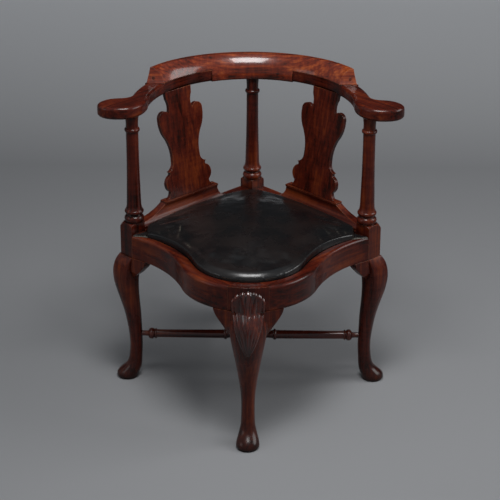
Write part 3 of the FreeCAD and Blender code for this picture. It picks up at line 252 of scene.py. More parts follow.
def mahogany(name, grain, roughness=0.25, curl=0.16, worn=0.45, polish=0.12,
             tones=MAHOGANY_TONES):
    """Polished mahogany whose grain runs along local x after the turn, in degrees."""
    material, tree = new_material(name)
    place = add(tree, "ShaderNodeTexCoord")
    turned = add(tree, "ShaderNodeMapping", i0=place.outputs["Object"])
    turned.inputs["Rotation"].default_value = [math.radians(a) for a in grain]
    streaks = noise_along(tree, turned, STREAK_LENGTH_MM, STREAK_WIDTH_MM, 6.0, 0.6)
    clouds = noise_along(tree, turned, 150.0, 60.0, 3.0, 0.5, 3.0)
    pores = noise_along(tree, turned, PORE_LENGTH_MM, PORE_WIDTH_MM, 2.0, 0.5, 7.0)
    figure = noise_along(tree, turned, CURL_WIDTH_MM, 40.0, 2.0, 0.5, 5.0)
    first = add(tree, "ShaderNodeMath", {"operation": "MULTIPLY"}, i0=streaks, i1=0.6)
    second = add(tree, "ShaderNodeMath", {"operation": "MULTIPLY_ADD"}, i0=clouds, i1=0.55,
                 i2=first.outputs[0])
    tone = add(tree, "ShaderNodeMath", {"operation": "MULTIPLY_ADD"}, i0=figure, i1=curl,
               i2=second.outputs[0])
    ramp = add(tree, "ShaderNodeValToRGB", Fac=tone.outputs[0])
    ramp.color_ramp.elements[0].position = 0.42 + curl / 2
    ramp.color_ramp.elements[0].color = colour(tones[0])
    ramp.color_ramp.elements[1].position = 0.78 + curl / 2
    ramp.color_ramp.elements[1].color = colour(tones[2])
    middle = ramp.color_ramp.elements.new(0.59 + curl / 2)
    middle.color = colour(tones[1])
    pore_mask = add(tree, "ShaderNodeMapRange", i0=pores, i1=0.58, i2=0.72, i3=0.0, i4=0.6)
    with_pores = add(tree, "ShaderNodeMix", {"data_type": "RGBA", "blend_type": "MULTIPLY"},
                     i0=pore_mask.outputs[0], i6=ramp.outputs[0], i7=colour("3c1208"))
    # Painted shade, with wax and dust: near corners and where parts meet, the wood darkens towards near
    # black.
    corners = add(tree, "ShaderNodeAmbientOcclusion", {"samples": 8}, Distance=CORNER_REACH)
    dust_and_shade = add(tree, "ShaderNodeMapRange", i0=corners.outputs["AO"], i1=0.35, i2=0.85, i3=0.75, i4=0.0)
    dark = add(tree, "ShaderNodeMix", {"data_type": "RGBA"}, i0=dust_and_shade.outputs[0],
               i6=with_pores.outputs[2], i7=colour(MAHOGANY_DARKENED))
    apart = add(tree, "ShaderNodeSeparateXYZ", Vector=place.outputs["Object"])
    # The feet turn darker towards the floor.
    darker_to_floor = add(tree, "ShaderNodeMapRange", i0=apart.outputs["Z"], i1=0.015, i2=DARKER_UP_TO,
                     i3=0.6, i4=0.0)
    dark = add(tree, "ShaderNodeMix", {"data_type": "RGBA"}, i0=darker_to_floor.outputs[0],
               i6=dark.outputs[2], i7=colour(MAHOGANY_DARKENED))
    rounded, edge = arris_mask(tree, ARRIS_MM)
    patches = add(tree, "ShaderNodeMapRange", i0=clouds, i1=0.42, i2=0.62, i3=0.25 * worn, i4=worn)
    outside = add(tree, "ShaderNodeMapRange", i0=corners.outputs["AO"], i1=0.80, i2=0.97, i3=0.0, i4=1.0)
    rubbed = add(tree, "ShaderNodeMath", {"operation": "MULTIPLY"}, i0=edge.outputs[0],
                 i1=patches.outputs[0])
    rubbed = add(tree, "ShaderNodeMath", {"operation": "MULTIPLY"}, i0=rubbed.outputs[0],
                 i1=outside.outputs[0])
    body = add(tree, "ShaderNodeMix", {"data_type": "RGBA"}, i0=rubbed.outputs[0],
               i6=dark.outputs[2], i7=colour(MAHOGANY_WORN))
    rough = add(tree, "ShaderNodeMapRange", i0=clouds, i1=0.3, i2=0.7,
                i3=roughness - 0.05, i4=roughness + 0.08)
    shader = add(tree, "ShaderNodeBsdfPrincipled", **{
        "Base Color": body.outputs[2], "Roughness": rough.outputs[0], "IOR": 1.5,
        "Specular IOR Level": 0.2, "Coat Weight": polish, "Coat Roughness": 0.10, "Coat IOR": 1.5})
    dents = noise_along(tree, turned, 22.0, 14.0, 2.0, 0.5, 11.0)
    height = add(tree, "ShaderNodeMath", {"operation": "MULTIPLY_ADD"}, i0=pores, i1=-0.12, i2=dents)
    finish_material(tree, shader, height.outputs[0], 0.0006, 0.35, rounded.outputs[0])
    return material


upright = mahogany("mahogany_upright", (0, 90, 0))
across = mahogany("mahogany_across", (0, 0, 0), polish=0.5)
# Paler crest tones: its own timber, with painted light on its front.
crest_wood = mahogany("mahogany_crest", (0, 0, 0), curl=0.2, polish=0.5, tones=CREST_TONES_WITH_PAINTED_LIGHT)
front_to_back = mahogany("mahogany_front_to_back", (0, 0, -90))
rising_right = mahogany("mahogany_rail_rising_right", (0, 0, -45))
rising_left = mahogany("mahogany_rail_rising_left", (0, 0, 45))
print("mahogany finishes made:", len(bpy.data.materials))

# %% [markdown]
# Give every mahogany timber the grain of its own plank: legs and splats upright, each rail along
# itself, the crest from side to side.

# %% Mahogany timbers
def dress(node, material):
    """Put one material on a CAD node."""
    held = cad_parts[node]
    held.data.materials.clear()
    held.data.materials.append(material)


timbers = {
    upright: ["front_leg", "left_leg", "right_leg", "back_leg", "left_splat", "right_splat",
              "front_leg_left_bracket", "front_leg_right_bracket", "left_leg_front_bracket",
              "left_leg_back_bracket", "right_leg_front_bracket", "right_leg_back_bracket",
              "back_leg_left_bracket", "back_leg_right_bracket", "crest_end_plugs"],
    across: ["side_to_side_stretcher"],
    crest_wood: ["crest_rail"],
    front_to_back: ["front_to_back_stretcher"],
    rising_right: ["front_right_rail", "back_left_rail", "left_shoe", "left_arm"],
    rising_left: ["front_left_rail", "back_right_rail", "right_shoe", "right_arm"],
}
for material, names in timbers.items():
    for name in names:
        dress(name, material)
print("dressed", sum(len(names) for names in timbers.values()), "mahogany pieces")

# %% [markdown]
# The knee of the front leg carries a scallop shell, cut from the same timber. A carver draws the
# fan, sinks the ground round it, then rounds each rib between two V cuts. Here the leg already has
# the raised pad. The ribs are a thin grid laid over it: rays find the pad's surface, and each
# point then stands out by the height of its rib, with the border sunk into the wood.

# %% Shell on the front knee
SHELL_TOP = 0.3875
SHELL_SHOULDER = 0.352
SHELL_TIP = 0.236
SHELL_HALF_WIDTH = 0.0395
SHELL_SPREAD = math.radians(79)
SHELL_RIBS = 7
RIB_HEIGHT = 0.0036
BORDER_SINK = 0.0010
POINTS_PER_RIB = 12
SHELL_ROWS = 56


def surface_finder(node):
    """Ray caster for a CAD node's mesh."""
    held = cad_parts[node]
    held.data.calc_loop_triangles()
    corners = [v.co.copy() for v in held.data.vertices]
    return BVHTree.FromPolygons(corners, [t.vertices for t in held.data.loop_triangles])


def shell_point(u, t):
    """Place on the fan seen from the front: u from left to right, t from tip to rim."""
    angle = u * SHELL_SPREAD
    rib = (u + 1) / 2 * SHELL_RIBS
    scallop = 1 + 0.055 * abs(math.sin(math.pi * rib)) ** 0.7
    rim_x = SHELL_HALF_WIDTH * math.sin(angle) * scallop
    rim_z = SHELL_SHOULDER + (SHELL_TOP - SHELL_SHOULDER) * math.cos(angle) * (0.2 + 0.8 * scallop)
    middle_x = 0.0285 * math.sin(angle)
    middle_z = (rim_z + SHELL_TIP) / 2 - 0.004 * abs(u)
    steer_x = 2 * middle_x - rim_x / 2
    steer_z = 2 * middle_z - (rim_z + SHELL_TIP) / 2
    x = 2 * t * (1 - t) * steer_x + t * t * rim_x
    z = (1 - t) ** 2 * SHELL_TIP + 2 * t * (1 - t) * steer_z + t * t * rim_z
    return x, z


def rib_height(u, t):
    """How far the carving stands out of the pad."""
    rib = (u + 1) / 2 * SHELL_RIBS
    crown = abs(math.sin(math.pi * rib)) ** 0.75
    grown = min(1.0, 0.25 + 1.15 * t) * min(1.0, (1 - t) / 0.05 + 0.15)
    return RIB_HEIGHT * grown * (0.15 + 0.85 * crown)


leg_surface = surface_finder("front_leg")
build = bmesh.new()
ACROSS, ALONG = SHELL_RIBS * POINTS_PER_RIB, SHELL_ROWS
grid = []
for row in range(ALONG + 1):
    t = 0.03 + 0.97 * row / ALONG
    line = []
    for column in range(ACROSS + 1):
        u = -1 + 2 * column / ACROSS
        x, z = shell_point(u, t)
        hit = leg_surface.ray_cast(Vector((x, -1.0, z)), Vector((0, 1, 0)))[0]
        on_edge = row in (0, ALONG) or column in (0, ACROSS)
        outward = -BORDER_SINK if on_edge else rib_height(u, t)
        line.append(build.verts.new((x, hit.y - outward, z)))
    grid.append(line)
for row in range(ALONG):
    for column in range(ACROSS):
        build.faces.new((grid[row][column], grid[row][column + 1],
                         grid[row + 1][column + 1], grid[row + 1][column]))
bmesh.ops.recalc_face_normals(build, faces=build.faces)
mesh = bpy.data.meshes.new("shell_carving")
build.to_mesh(mesh)
build.free()
for face in mesh.polygons:
    face.use_smooth = True
shell = bpy.data.objects.new("shell_carving", mesh)
scene.collection.objects.link(shell)
shell.data.materials.append(
    mahogany("mahogany_handled_shell", (0, 90, 0), roughness=0.2, worn=0.7, polish=0.8))
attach(shell, "frame")
print("shell of", SHELL_RIBS, "ribs,", len(mesh.polygons), "faces")

# %% [markdown]
# The seat is a loose frame with a leather cover over horsehair, pulled tight and tacked beneath.
# Its shape comes from pressure against a skin, so it is made by the cloth solver. A low closed pad
# is drawn first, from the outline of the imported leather: rays from outside find where the recess
# holds it, and rays from above find its top. The pad starts a little below that top.

# %% Pad before it swells
LEATHER_RIM = 0.3985          # top of the rails, where the leather comes out of its recess
PAD_CLEARANCE = 0.0012
PAD_START = 0.0010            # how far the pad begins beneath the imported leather's top
HIDE_OVER_HAIR = 0.0018       # least height of the swelled hide above the stuffing
OUTLINE_STEPS = 240
SIDE_INSET = 0.03             # up to here rings keep an even width, then they shrink to the heart
PLAN_INSET = 0.2              # inset that would reach the heart
HEART = 0.01
leather_low, leather_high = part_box("seat_leather")
leather_surface = surface_finder("seat_leather")
seat_middle = Vector((0.0, -0.02, 0.0))


def outline_radius(angle, height):
    """Distance from the seat's middle to the outside of the leather at one height."""
    outward = Vector((math.cos(angle), math.sin(angle), 0))
    start = seat_middle + outward + Vector((0, 0, height))
    hit = leather_surface.ray_cast(start, -outward)[0]
    return (hit - seat_middle - Vector((0, 0, height))).length


side_height = (leather_low.z + LEATHER_RIM) / 2
outline = [outline_radius(2 * math.pi * step / OUTLINE_STEPS, side_height) - PAD_CLEARANCE
           for step in range(OUTLINE_STEPS)]


def inset_of(x, y):
    """How far a point of the plan lies inside the outline, measured towards the middle."""
    offset = Vector((x, y, 0)) - seat_middle
    place = (math.atan2(offset.y, offset.x) / (2 * math.pi) % 1.0) * OUTLINE_STEPS
    before = int(place) % OUTLINE_STEPS
    share = place - int(place)
    edge = outline[before] * (1 - share) + outline[(before + 1) % OUTLINE_STEPS] * share
    return edge - offset.length


def top_height(x, y):
    """Height of the pad's top at a point of the plan."""
    hit = leather_surface.ray_cast(Vector((x, y, leather_high.z + 0.02)), Vector((0, 0, -1)), 0.06)[0]
    return max(LEATHER_RIM + 0.001, (hit.z if hit else 0.0) - PAD_START)


def ring_reach(step, inset):
    """Distance of a ring from the seat's middle in one direction."""
    if inset > SIDE_INSET:
        return outline[step] * (1 - inset / PLAN_INSET) + HEART * inset / PLAN_INSET
    return outline[step] - inset


rows = [(SIDE_INSET, leather_low.z), (0.003, leather_low.z), (0.0, leather_low.z + 0.002),
        (0.0, LEATHER_RIM - 0.003), (0.0004, LEATHER_RIM + 0.001)]
rows += [(inset, None) for inset in (0.003, 0.006, 0.010, 0.015, 0.022, SIDE_INSET, 0.040, 0.052,
                                     0.066, 0.083, 0.105, 0.13, 0.16, 0.19)]
build = bmesh.new()
rings = []
for inset, height in rows:
    ring = []
    for step in range(OUTLINE_STEPS):
        angle = 2 * math.pi * step / OUTLINE_STEPS
        reach = ring_reach(step, inset)
        x, y = seat_middle.x + reach * math.cos(angle), seat_middle.y + reach * math.sin(angle)
        ring.append(build.verts.new((x, y, top_height(x, y) if height is None else height)))
    rings.append(ring)
for lower, upper in zip(rings, rings[1:]):
    for step in range(OUTLINE_STEPS):
        after = (step + 1) % OUTLINE_STEPS
        build.faces.new((lower[step], lower[after], upper[after], upper[step]))
for ring, height, turn in ((rings[0], leather_low.z, -1), (rings[-1], top_height(*seat_middle.xy), 1)):
    pole = build.verts.new((seat_middle.x, seat_middle.y, height))
    for step in range(OUTLINE_STEPS):
        pair = (ring[step], ring[(step + 1) % OUTLINE_STEPS])
        build.faces.new((pole, *pair[::turn]))
bmesh.ops.recalc_face_normals(build, faces=build.faces)
mesh = bpy.data.meshes.new("pad")
build.to_mesh(mesh)
build.free()
pad = bpy.data.objects.new("pad", mesh)
scene.collection.objects.link(pad)
print("pad drawn with", len(mesh.polygons), "faces")

# %% [markdown]
# The pad is remeshed to even 6 mm squares, because the solver wants edges of one length. Points
# below the rim are pinned. Gravity is off, since only the stuffing's push matters here, and the
# solver may move no point more than 9 mm. The solved shape is kept as a plain mesh, without the
# solver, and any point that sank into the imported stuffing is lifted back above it.

# %% Leather swelled by the cloth solver
VOXEL = 0.006
MOST_MOVED = 0.009
SOLVER_FRAMES = 20
PIN_BAND = 0.004              # height over which the hold on the hide fades out
BESIDE = 0.005
NEIGHBOURS = ((0.0, 0.0), (BESIDE, 0.0), (-BESIDE, 0.0), (0.0, BESIDE), (0.0, -BESIDE))


def evaluated_mesh(held, name):
    """Mesh of an object with its modifiers applied."""
    graph = bpy.context.evaluated_depsgraph_get()
    made = bpy.data.meshes.new_from_object(held.evaluated_get(graph))
    made.name = name
    return made


even = pad.modifiers.new("even", "REMESH")
even.mode = "VOXEL"
even.voxel_size = VOXEL
cover = bpy.data.objects.new("seat_cover", evaluated_mesh(pad, "seat_cover"))
bpy.data.objects.remove(pad)
scene.collection.objects.link(cover)
pins = cover.vertex_groups.new(name="pinned")
for vertex in cover.data.vertices:
    hold = min(1.0, max(0.0, (LEATHER_RIM + PIN_BAND - vertex.co.z) / PIN_BAND))
    if hold:
        pins.add([vertex.index], hold, "REPLACE")
cloth = cover.modifiers.new("cloth", "CLOTH")
cloth.settings.quality = 8
cloth.settings.mass = 0.25
cloth.settings.tension_stiffness = 30
cloth.settings.compression_stiffness = 30
cloth.settings.bending_stiffness = 4
cloth.settings.use_pressure = True
cloth.settings.uniform_pressure_force = 4
cloth.settings.vertex_group_mass = "pinned"
cloth.settings.effector_weights.gravity = 0
for frame_number in range(1, SOLVER_FRAMES + 1):
    scene.frame_set(frame_number)
swelled = evaluated_mesh(cover, "swelled")
moved = 0.0
for vertex, after in zip(cover.data.vertices, swelled.vertices):
    step = after.co - vertex.co
    if step.length > MOST_MOVED:
        step = step.normalized() * MOST_MOVED
    moved = max(moved, step.length)
    vertex.co = vertex.co + step
cover.modifiers.remove(cloth)
scene.frame_set(1)
print("leather moved up to", round(moved * 1000, 1), "mm")
stuffing_surface = surface_finder("seat_stuffing")


def hair_below(x, y):
    """Highest stuffing under a point of the plan and close around it."""
    heights = [0.0]
    for dx, dy in NEIGHBOURS:
        hit = stuffing_surface.ray_cast(Vector((x + dx, y + dy, 0.5)), Vector((0, 0, -1)), 0.2)[0]
        if hit:
            heights.append(hit.z)
    return max(heights)


raised = 0
facing_up = [vertex.normal.z > 0.05 for vertex in cover.data.vertices]
for vertex, is_top in zip(cover.data.vertices, facing_up):
    if is_top and vertex.co.z > LEATHER_RIM - PIN_BAND:
        least = hair_below(vertex.co.x, vertex.co.y) + HIDE_OVER_HAIR
        if vertex.co.z < least:
            vertex.co.z = least
            raised += 1
print("leather top at", round(max(v.co.z for v in cover.data.vertices), 4), "m,", raised, "points raised")

# %% [markdown]
# The leather goes under the frame for 28 mm and stops there, so the rest of the pad's underside
# is cut away, and the webbing shows from beneath. One subdivision smooths the squares. Along the
# front lobe the solver leaves too low an edge, so the hide is raised there to a stuffed roll of
# 22 mm radius. Then age is pressed in: shallow folds near the left post and fine ones on the
# right. A named attribute keeps where the dye has worn off them.

# %% Folds and wear of the leather
TURNED_IN = 0.028
ROLL_RADIUS = 0.022           # stuffed roll behind the front edge
ROLL_START = 80.0             # slope of the roll at the rim, degrees
BEHIND_ROLL = 0.04            # slope of the hide behind the roll
FRONT_FROM = -0.10            # the roll begins here and is full one band further forward
FRONT_BAND = 0.09
BLEND_POWER = 6               # how sharply the roll joins the swelled hide
DEEPEST_FOLD = 0.0014
WEAR_HALF_WIDTH = 0.0009
FOLDS = (  # start, end, depth and half width, in metres on the plan
    ((-0.199, -0.020), (-0.187, -0.071), 0.0011, 0.0030),
    ((-0.167, -0.020), (-0.170, -0.083), DEEPEST_FOLD, 0.0032),
    ((-0.154, -0.102), (-0.138, -0.137), 0.0012, 0.0028),
    ((-0.222, -0.030), (-0.214, -0.055), 0.0008, 0.0025),
    ((0.176, -0.030), (0.196, -0.064), 0.0006, 0.0024),
    ((0.203, -0.012), (0.215, -0.050), 0.0007, 0.0024),
    ((0.158, -0.060), (0.170, -0.094), 0.0005, 0.0022),
    ((0.225, -0.020), (0.231, -0.044), 0.0006, 0.0022),
)
build = bmesh.new()
build.from_mesh(cover.data)
beneath = [face for face in build.faces if face.normal.z < -0.6
           and min(inset_of(v.co.x, v.co.y) for v in face.verts) > TURNED_IN]
bmesh.ops.delete(build, geom=beneath, context="FACES")
build.to_mesh(cover.data)
build.free()
smooth = cover.modifiers.new("smooth", "SUBSURF")
smooth.levels = 1
finer = evaluated_mesh(cover, "seat_cover")
cover.modifiers.clear()
cover.data = finer


def fold_distance(x, y, start, end):
    """Distance of a point of the plan from a fold's line, and how far along the fold it lies."""
    a, b, p = Vector(start), Vector(end), Vector((x, y))
    along = (p - a).dot(b - a) / (b - a).length_squared
    sway = 0.0022 * noise.noise(Vector((x, y, 0.3)) * 60)
    inside = min(1.0, max(0.0, along))
    return (p - a.lerp(b, inside)).length + sway, inside


def front_roll(inset):
    """Height above the rim of the stuffed roll along the front edge."""
    steep = math.radians(ROLL_START)
    depth = ROLL_RADIUS * math.sin(steep)
    turn = math.sin(steep) - min(inset, depth) / ROLL_RADIUS
    level = BEHIND_ROLL * max(0.0, inset - depth)
    return ROLL_RADIUS * (math.sqrt(1 - turn ** 2) - math.cos(steep)) + level


worn = finer.attributes.new("worn", "FLOAT", "POINT")
facing_up = [vertex.normal.z > 0.05 for vertex in finer.vertices]
for vertex, is_top in zip(finer.vertices, facing_up):
    x, y, z = vertex.co
    if z < LEATHER_RIM - PIN_BAND or not is_top:
        continue
    press, wear = 0.0, 0.0
    for start, end, depth, half_width in FOLDS:
        distance, along = fold_distance(x, y, start, end)
        fade = math.sin(math.pi * (0.12 + 0.76 * along))
        press += depth * fade * math.exp(-(distance / half_width) ** 2)
        wear = max(wear, 0.5 * fade * depth / DEEPEST_FOLD * math.exp(-(distance / WEAR_HALF_WIDTH) ** 2))
    broad = 0.0007 * noise.noise(Vector((x, y, 0.0)) * 22)
    soft = broad + 0.0005 * noise.noise(Vector((x, y, 4.0)) * 55)
    inset = inset_of(x, y)
    at_front = min(1.0, max(0.0, (FRONT_FROM - y) / FRONT_BAND))
    if at_front and inset > 0.001:
        roll, plain = front_roll(inset), max(0.0001, z - LEATHER_RIM)
        joined = (roll ** BLEND_POWER + plain ** BLEND_POWER) ** (1 / BLEND_POWER)
        z += (joined - plain) * at_front ** 2 * (3 - 2 * at_front)
    vertex.co.z = z - press + soft * min(1.0, max(0.0, inset) / 0.02)
    worn.data[vertex.index].value = wear
for face in finer.polygons:
    face.use_smooth = True
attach(cover, "slip_seat")
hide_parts("seat_leather")
print("leather cover of", len(finer.polygons), "faces")

# %% [markdown]
# At each side post the hide is cut to a tongue that lies on the end of the rail, in front of the
# post. Its edges have lost their dye. A small grid is laid on the rail by rays from above.

# %% Leather tongues at the side posts
TONGUE_ROOT = 0.244
TONGUE_TIP = 0.2815
TONGUE_ROWS, TONGUE_COLUMNS = 14, 12
rail_surfaces = {side: [surface_finder(name) for name in names] for side, names in (
    (1, ["front_right_rail", "right_leg"]), (-1, ["front_left_rail", "left_leg"]))}


def rail_height(side, x, y):
    """Highest wood under a point near the side post, below the rim's level plus a little."""
    tops = []
    for surface in rail_surfaces[side]:
        hit = surface.ray_cast(Vector((x, y, LEATHER_RIM + 0.003)), Vector((0, 0, -1)), 0.03)[0]
        if hit:
            tops.append(hit.z)
    return max(tops, default=LEATHER_RIM - 0.008)


tongues = []
for side, name in ((1, "leather_tongue_right"), (-1, "leather_tongue_left")):
    build = bmesh.new()
    grid = []
    for row in range(TONGUE_ROWS + 1):
        s = row / TONGUE_ROWS
        x = TONGUE_ROOT + (TONGUE_TIP - TONGUE_ROOT) * s
        rear, front = -0.002 - 0.0262 * s ** 0.9, -0.043 + 0.0132 * s ** 1.3
        line = []
        for column in range(TONGUE_COLUMNS + 1):
            c = column / TONGUE_COLUMNS
            y = rear + (front - rear) * c
            bulge = math.sin(math.pi * c) ** 0.6
            lift = 0.0006 + bulge * (0.0016 + 0.0052 * (1 - s) ** 2)
            wood = max(rail_height(side, side * x, y), LEATHER_RIM - 0.004)
            line.append(build.verts.new((side * x, y, wood + lift)))
        grid.append(line)
    for row in range(TONGUE_ROWS):
        for column in range(TONGUE_COLUMNS):
            build.faces.new((grid[row][column], grid[row][column + 1],
                             grid[row + 1][column + 1], grid[row + 1][column]))
    bmesh.ops.recalc_face_normals(build, faces=build.faces)
    if sum(face.normal.z for face in build.faces) < 0:
        bmesh.ops.reverse_faces(build, faces=build.faces)
    mesh = bpy.data.meshes.new(name)
    build.to_mesh(mesh)
    build.free()
    worn = mesh.attributes.new("worn", "FLOAT", "POINT")
    for index in range(len(mesh.vertices)):
        row, column = divmod(index, TONGUE_COLUMNS + 1)
        edge = max(abs(column - 6) / 6, (row - 9) / 5)
        worn.data[index].value = 0.7 * max(0.0, (edge - 0.7) / 0.3)
    for face in mesh.polygons:
        face.use_smooth = True
    tongue = bpy.data.objects.new(name, mesh)
    scene.collection.objects.link(tongue)
    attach(tongue, "slip_seat")
    tongues.append(tongue)
print("tongues:", [t.name for t in tongues])

# %% [markdown]
# Black waxed hide, polished by long sitting. It is near black with a low gloss that turns sharp
# where the wax has built up. The grain of hide is
# 0.5 mm across and is drawn at 2.5 mm so that it shows. Fine crackle spreads in scattered patches,
# and the dye has worn to a pale grey tan along the folds and tongues.

# %% Black waxed hide
HIDE_BLACK = "0c0c0d"
HIDE_BROWN = "1c1411"
HIDE_WORN = "7d766a"
HIDE_GRAIN_MM = 2.5
CRACKLE_MM = 9.0
material, tree = new_material("black_waxed_hide")
place = add(tree, "ShaderNodeTexCoord")
cloud = add(tree, "ShaderNodeTexNoise", Vector=place.outputs["Object"], Scale=per_metre(70.0), Detail=4.0,
            Roughness=0.55)
grain = add(tree, "ShaderNodeTexVoronoi", {"feature": "F1"}, Vector=place.outputs["Object"],
            Scale=per_metre(HIDE_GRAIN_MM))
bent = add(tree, "ShaderNodeMix", {"data_type": "VECTOR"}, i0=0.004, i4=place.outputs["Object"],
           i5=cloud.outputs["Color"])
crackle = add(tree, "ShaderNodeTexVoronoi", {"feature": "DISTANCE_TO_EDGE"}, Vector=bent.outputs[1],
              Scale=per_metre(CRACKLE_MM))
crack = add(tree, "ShaderNodeMapRange", i0=crackle.outputs["Distance"], i1=0.0, i2=0.06, i3=1.0, i4=0.0)
where = add(tree, "ShaderNodeMapRange", i0=cloud.outputs["Fac"], i1=0.52, i2=0.68, i3=0.0, i4=1.0)
cracks = add(tree, "ShaderNodeMath", {"operation": "MULTIPLY"}, i0=crack.outputs[0], i1=where.outputs[0])
tint = add(tree, "ShaderNodeMapRange", i0=cloud.outputs["Fac"], i1=0.4, i2=0.75, i3=0.0, i4=0.6)
ground = add(tree, "ShaderNodeMix", {"data_type": "RGBA"}, i0=tint.outputs[0],
             i6=colour(HIDE_BLACK), i7=colour(HIDE_BROWN))
rubbed = add(tree, "ShaderNodeAttribute", {"attribute_name": "worn"})
frayed = add(tree, "ShaderNodeTexNoise", Vector=place.outputs["Object"], Scale=per_metre(4.0), Detail=3.0)
broken = add(tree, "ShaderNodeMapRange", i0=frayed.outputs["Fac"], i1=0.38, i2=0.60, i3=0.2, i4=1.0)
faded = add(tree, "ShaderNodeMath", {"operation": "MULTIPLY"}, i0=rubbed.outputs["Fac"],
            i1=broken.outputs[0])
pale = add(tree, "ShaderNodeMath", {"operation": "MULTIPLY"}, i0=faded.outputs[0], i1=0.75)
hide = add(tree, "ShaderNodeMix", {"data_type": "RGBA"}, i0=pale.outputs[0],
           i6=ground.outputs[2], i7=colour(HIDE_WORN))
rough = add(tree, "ShaderNodeMapRange", i0=cloud.outputs["Fac"], i1=0.3, i2=0.7, i3=0.20, i4=0.34)
height = add(tree, "ShaderNodeMath", {"operation": "MULTIPLY_ADD"}, i0=cracks.outputs[0], i1=-1.2,
             i2=grain.outputs["Distance"])
shader = add(tree, "ShaderNodeBsdfPrincipled", **{
    "Base Color": hide.outputs[2], "Roughness": rough.outputs[0], "IOR": 1.5,
    "Specular IOR Level": 0.45})
finish_material(tree, shader, height.outputs[0], 0.0003, 0.18)
for piece in [cover, *tongues]:
    piece.data.materials.clear()
    piece.data.materials.append(material)
print("hide on", 1 + len(tongues), "pieces")

# %% [markdown]
# Under the hide are the parts an upholsterer would know. None of them shows in the photograph, so
# their woods are guesses: beech for the slip frame, which holds tacks well, and pine for the corner
# blocks. Both are unpolished and a dull brown, with long grain and thin dark lines. Every corner is
# darkened, as dirt together with painted shade.

# %% Beech and pine
def bare_timber(name, grain, pale, deep, line_mm, roughness):
    """Unpolished wood whose grain runs along local x after the turn, in degrees."""
    material, tree = new_material(name)
    place = add(tree, "ShaderNodeTexCoord")
    turned = add(tree, "ShaderNodeMapping", i0=place.outputs["Object"])
    turned.inputs["Rotation"].default_value = [math.radians(a) for a in grain]
    lines = noise_along(tree, turned, 160.0, line_mm, 4.0, 0.6)
    stain = noise_along(tree, turned, 90.0, 50.0, 3.0, 0.5, 4.0)
    mixed = add(tree, "ShaderNodeMath", {"operation": "MULTIPLY_ADD"}, i0=stain, i1=0.5, i2=lines)
    share = add(tree, "ShaderNodeMapRange", i0=mixed.outputs[0], i1=0.55, i2=0.95, i3=0.0, i4=1.0)
    wood = add(tree, "ShaderNodeMix", {"data_type": "RGBA"}, i0=share.outputs[0],
               i6=colour(pale), i7=colour(deep))
    # Painted shade, with dirt: near corners and where parts meet, the wood darkens to a dark brown.
    corners = add(tree, "ShaderNodeAmbientOcclusion", {"samples": 6}, Distance=0.02)
    dust_and_shade = add(tree, "ShaderNodeMapRange", i0=corners.outputs["AO"], i1=0.3, i2=0.9, i3=0.6, i4=0.0)
    darkened_wood = add(tree, "ShaderNodeMix", {"data_type": "RGBA"}, i0=dust_and_shade.outputs[0],
               i6=wood.outputs[2], i7=colour("2a1a10"))
    shader = add(tree, "ShaderNodeBsdfPrincipled", **{
        "Base Color": darkened_wood.outputs[2], "Roughness": roughness, "Specular IOR Level": 0.3})
    finish_material(tree, shader, lines, 0.0004, 0.3)
    return material


beech = {turn: bare_timber("aged_beech_" + name, (0, 0, turn), "a87d55", "7a5334", 5.0, 0.62)
         for turn, name in ((45, "one_way"), (-45, "other_way"))}
pine = bare_timber("aged_pine", (0, 90, 0), "b18a58", "84582f", 9.0, 0.68)
for name in ("seat_frame_front_left", "seat_frame_back_right"):
    dress(name, beech[45])
for name in ("seat_frame_front_right", "seat_frame_back_left"):
    dress(name, beech[-45])
for name in ("front_corner_block", "back_corner_block", "left_corner_block", "right_corner_block"):
    dress(name, pine)
print("bare timber on 8 nodes")

# %% [markdown]
# Webbing and hessian are both jute, in a plain weave. The weave is two sets of waves at right
# angles, one over the other, with noise in the yarns so that no two threads match. The low places
# between and under the yarns are coloured deep brown, as painted shade. The webbing's yarns are
# 2.4 mm and tight, the hessian's 1.6 mm and loose. Horsehair is springy black curls, whose high
# tops are coloured paler as painted highlights.

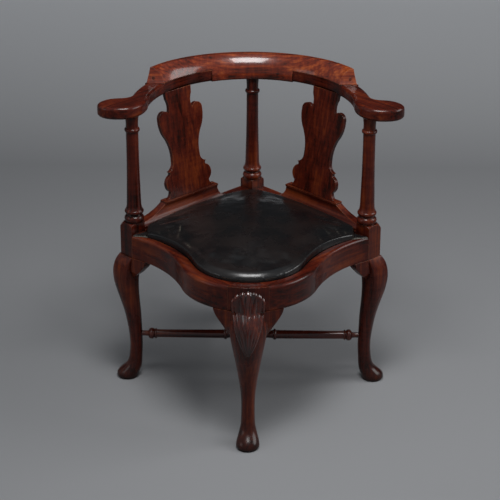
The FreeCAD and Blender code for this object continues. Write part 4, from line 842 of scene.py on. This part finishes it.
# %% Jute, hessian and horsehair
def plain_weave(name, yarn_mm, pale, deep, gap):
    """Cloth woven at 45 degrees to the chair, which is square to the seat rails."""
    material, tree = new_material(name)
    place = add(tree, "ShaderNodeTexCoord")
    turned = add(tree, "ShaderNodeMapping", i0=place.outputs["Object"])
    turned.inputs["Rotation"].default_value = (0, 0, math.radians(45))
    wander = add(tree, "ShaderNodeTexNoise", Vector=turned.outputs[0], Scale=per_metre(9.0), Detail=2.0)
    moved = add(tree, "ShaderNodeMix", {"data_type": "VECTOR"}, i0=0.0012, i4=turned.outputs[0],
                i5=wander.outputs["Color"])
    yarns = [add(tree, "ShaderNodeTexWave", {"bands_direction": way}, Vector=moved.outputs[1],
                 Scale=per_metre(yarn_mm) * math.pi / 10).outputs["Fac"] for way in ("X", "Y")]
    over = add(tree, "ShaderNodeMath", {"operation": "MAXIMUM"}, i0=yarns[0], i1=yarns[1])
    under = add(tree, "ShaderNodeMath", {"operation": "MULTIPLY"}, i0=yarns[0], i1=yarns[1])
    relief = add(tree, "ShaderNodeMath", {"operation": "MULTIPLY_ADD"}, i0=under.outputs[0], i1=0.5,
                 i2=over.outputs[0])
    share = add(tree, "ShaderNodeMapRange", i0=relief.outputs[0], i1=gap, i2=1.2, i3=0.0, i4=1.0)
    slub = add(tree, "ShaderNodeTexNoise", Vector=turned.outputs[0], Scale=per_metre(6.0), Detail=4.0)
    level = add(tree, "ShaderNodeMath", {"operation": "MULTIPLY"}, i0=share.outputs[0],
                i1=slub.outputs["Fac"])
    doubled = add(tree, "ShaderNodeMath", {"operation": "MULTIPLY"}, i0=level.outputs[0], i1=1.6)
    # Painted shade: the low places of the weave, between and under the yarns, take the deep colour.
    cloth_colour = add(tree, "ShaderNodeMix", {"data_type": "RGBA"}, i0=doubled.outputs[0],
                       i6=colour(deep), i7=colour(pale))
    shader = add(tree, "ShaderNodeBsdfPrincipled", **{
        "Base Color": cloth_colour.outputs[2], "Roughness": 0.85, "Specular IOR Level": 0.15})
    finish_material(tree, shader, relief.outputs[0], 0.0006, 0.7)
    return material


dress("seat_webbing", plain_weave("jute_webbing", 2.4, "a58a5c", "4a3620", 0.1))
dress("seat_hessian", plain_weave("hessian", 1.6, "9c8257", "33261a", 0.35))
material, tree = new_material("horsehair")
place = add(tree, "ShaderNodeTexCoord")
curls = add(tree, "ShaderNodeTexNoise", Vector=place.outputs["Object"], Scale=per_metre(14.0), Detail=6.0,
            Roughness=0.65, Distortion=3.0)
# Painted highlights: the high tops of the curls are coloured paler.
lit = add(tree, "ShaderNodeMapRange", i0=curls.outputs["Fac"], i1=0.45, i2=0.7, i3=0.0, i4=1.0)
hair = add(tree, "ShaderNodeMix", {"data_type": "RGBA"}, i0=lit.outputs[0],
           i6=colour("0f0c0a"), i7=colour("3a2d24"))
shader = add(tree, "ShaderNodeBsdfPrincipled", **{
    "Base Color": hair.outputs[2], "Roughness": 0.6, "Specular IOR Level": 0.3})
finish_material(tree, shader, curls.outputs["Fac"], 0.003, 0.8)
dress("seat_stuffing", material)
print("cloth and hair on 3 nodes")

# %% [markdown]
# Iron tacks and screws, dark brown with a bloom of rust. Rust is rough and not metallic, bare iron
# is smoother and metallic, so one noise drives colour, roughness and metallic together.

# %% Old iron
material, tree = new_material("old_iron")
place = add(tree, "ShaderNodeTexCoord")
bloom = add(tree, "ShaderNodeTexNoise", Vector=place.outputs["Object"], Scale=per_metre(3.0), Detail=4.0)
rust = add(tree, "ShaderNodeMapRange", i0=bloom.outputs["Fac"], i1=0.42, i2=0.58, i3=0.0, i4=1.0)
skin = add(tree, "ShaderNodeMix", {"data_type": "RGBA"}, i0=rust.outputs[0],
           i6=colour("4b4845"), i7=colour("4a2413"))
rough = add(tree, "ShaderNodeMapRange", i0=rust.outputs[0], i1=0.0, i2=1.0, i3=0.42, i4=0.85)
metal = add(tree, "ShaderNodeMapRange", i0=rust.outputs[0], i1=0.0, i2=1.0, i3=0.9, i4=0.0)
shader = add(tree, "ShaderNodeBsdfPrincipled", **{
    "Base Color": skin.outputs[2], "Roughness": rough.outputs[0], "Metallic": metal.outputs[0]})
finish_material(tree, shader, bloom.outputs["Fac"], 0.0003, 0.5)
for name in ("seat_tacks", "crest_screws", "corner_block_screws"):
    dress(name, material)
print("iron on 3 nodes")
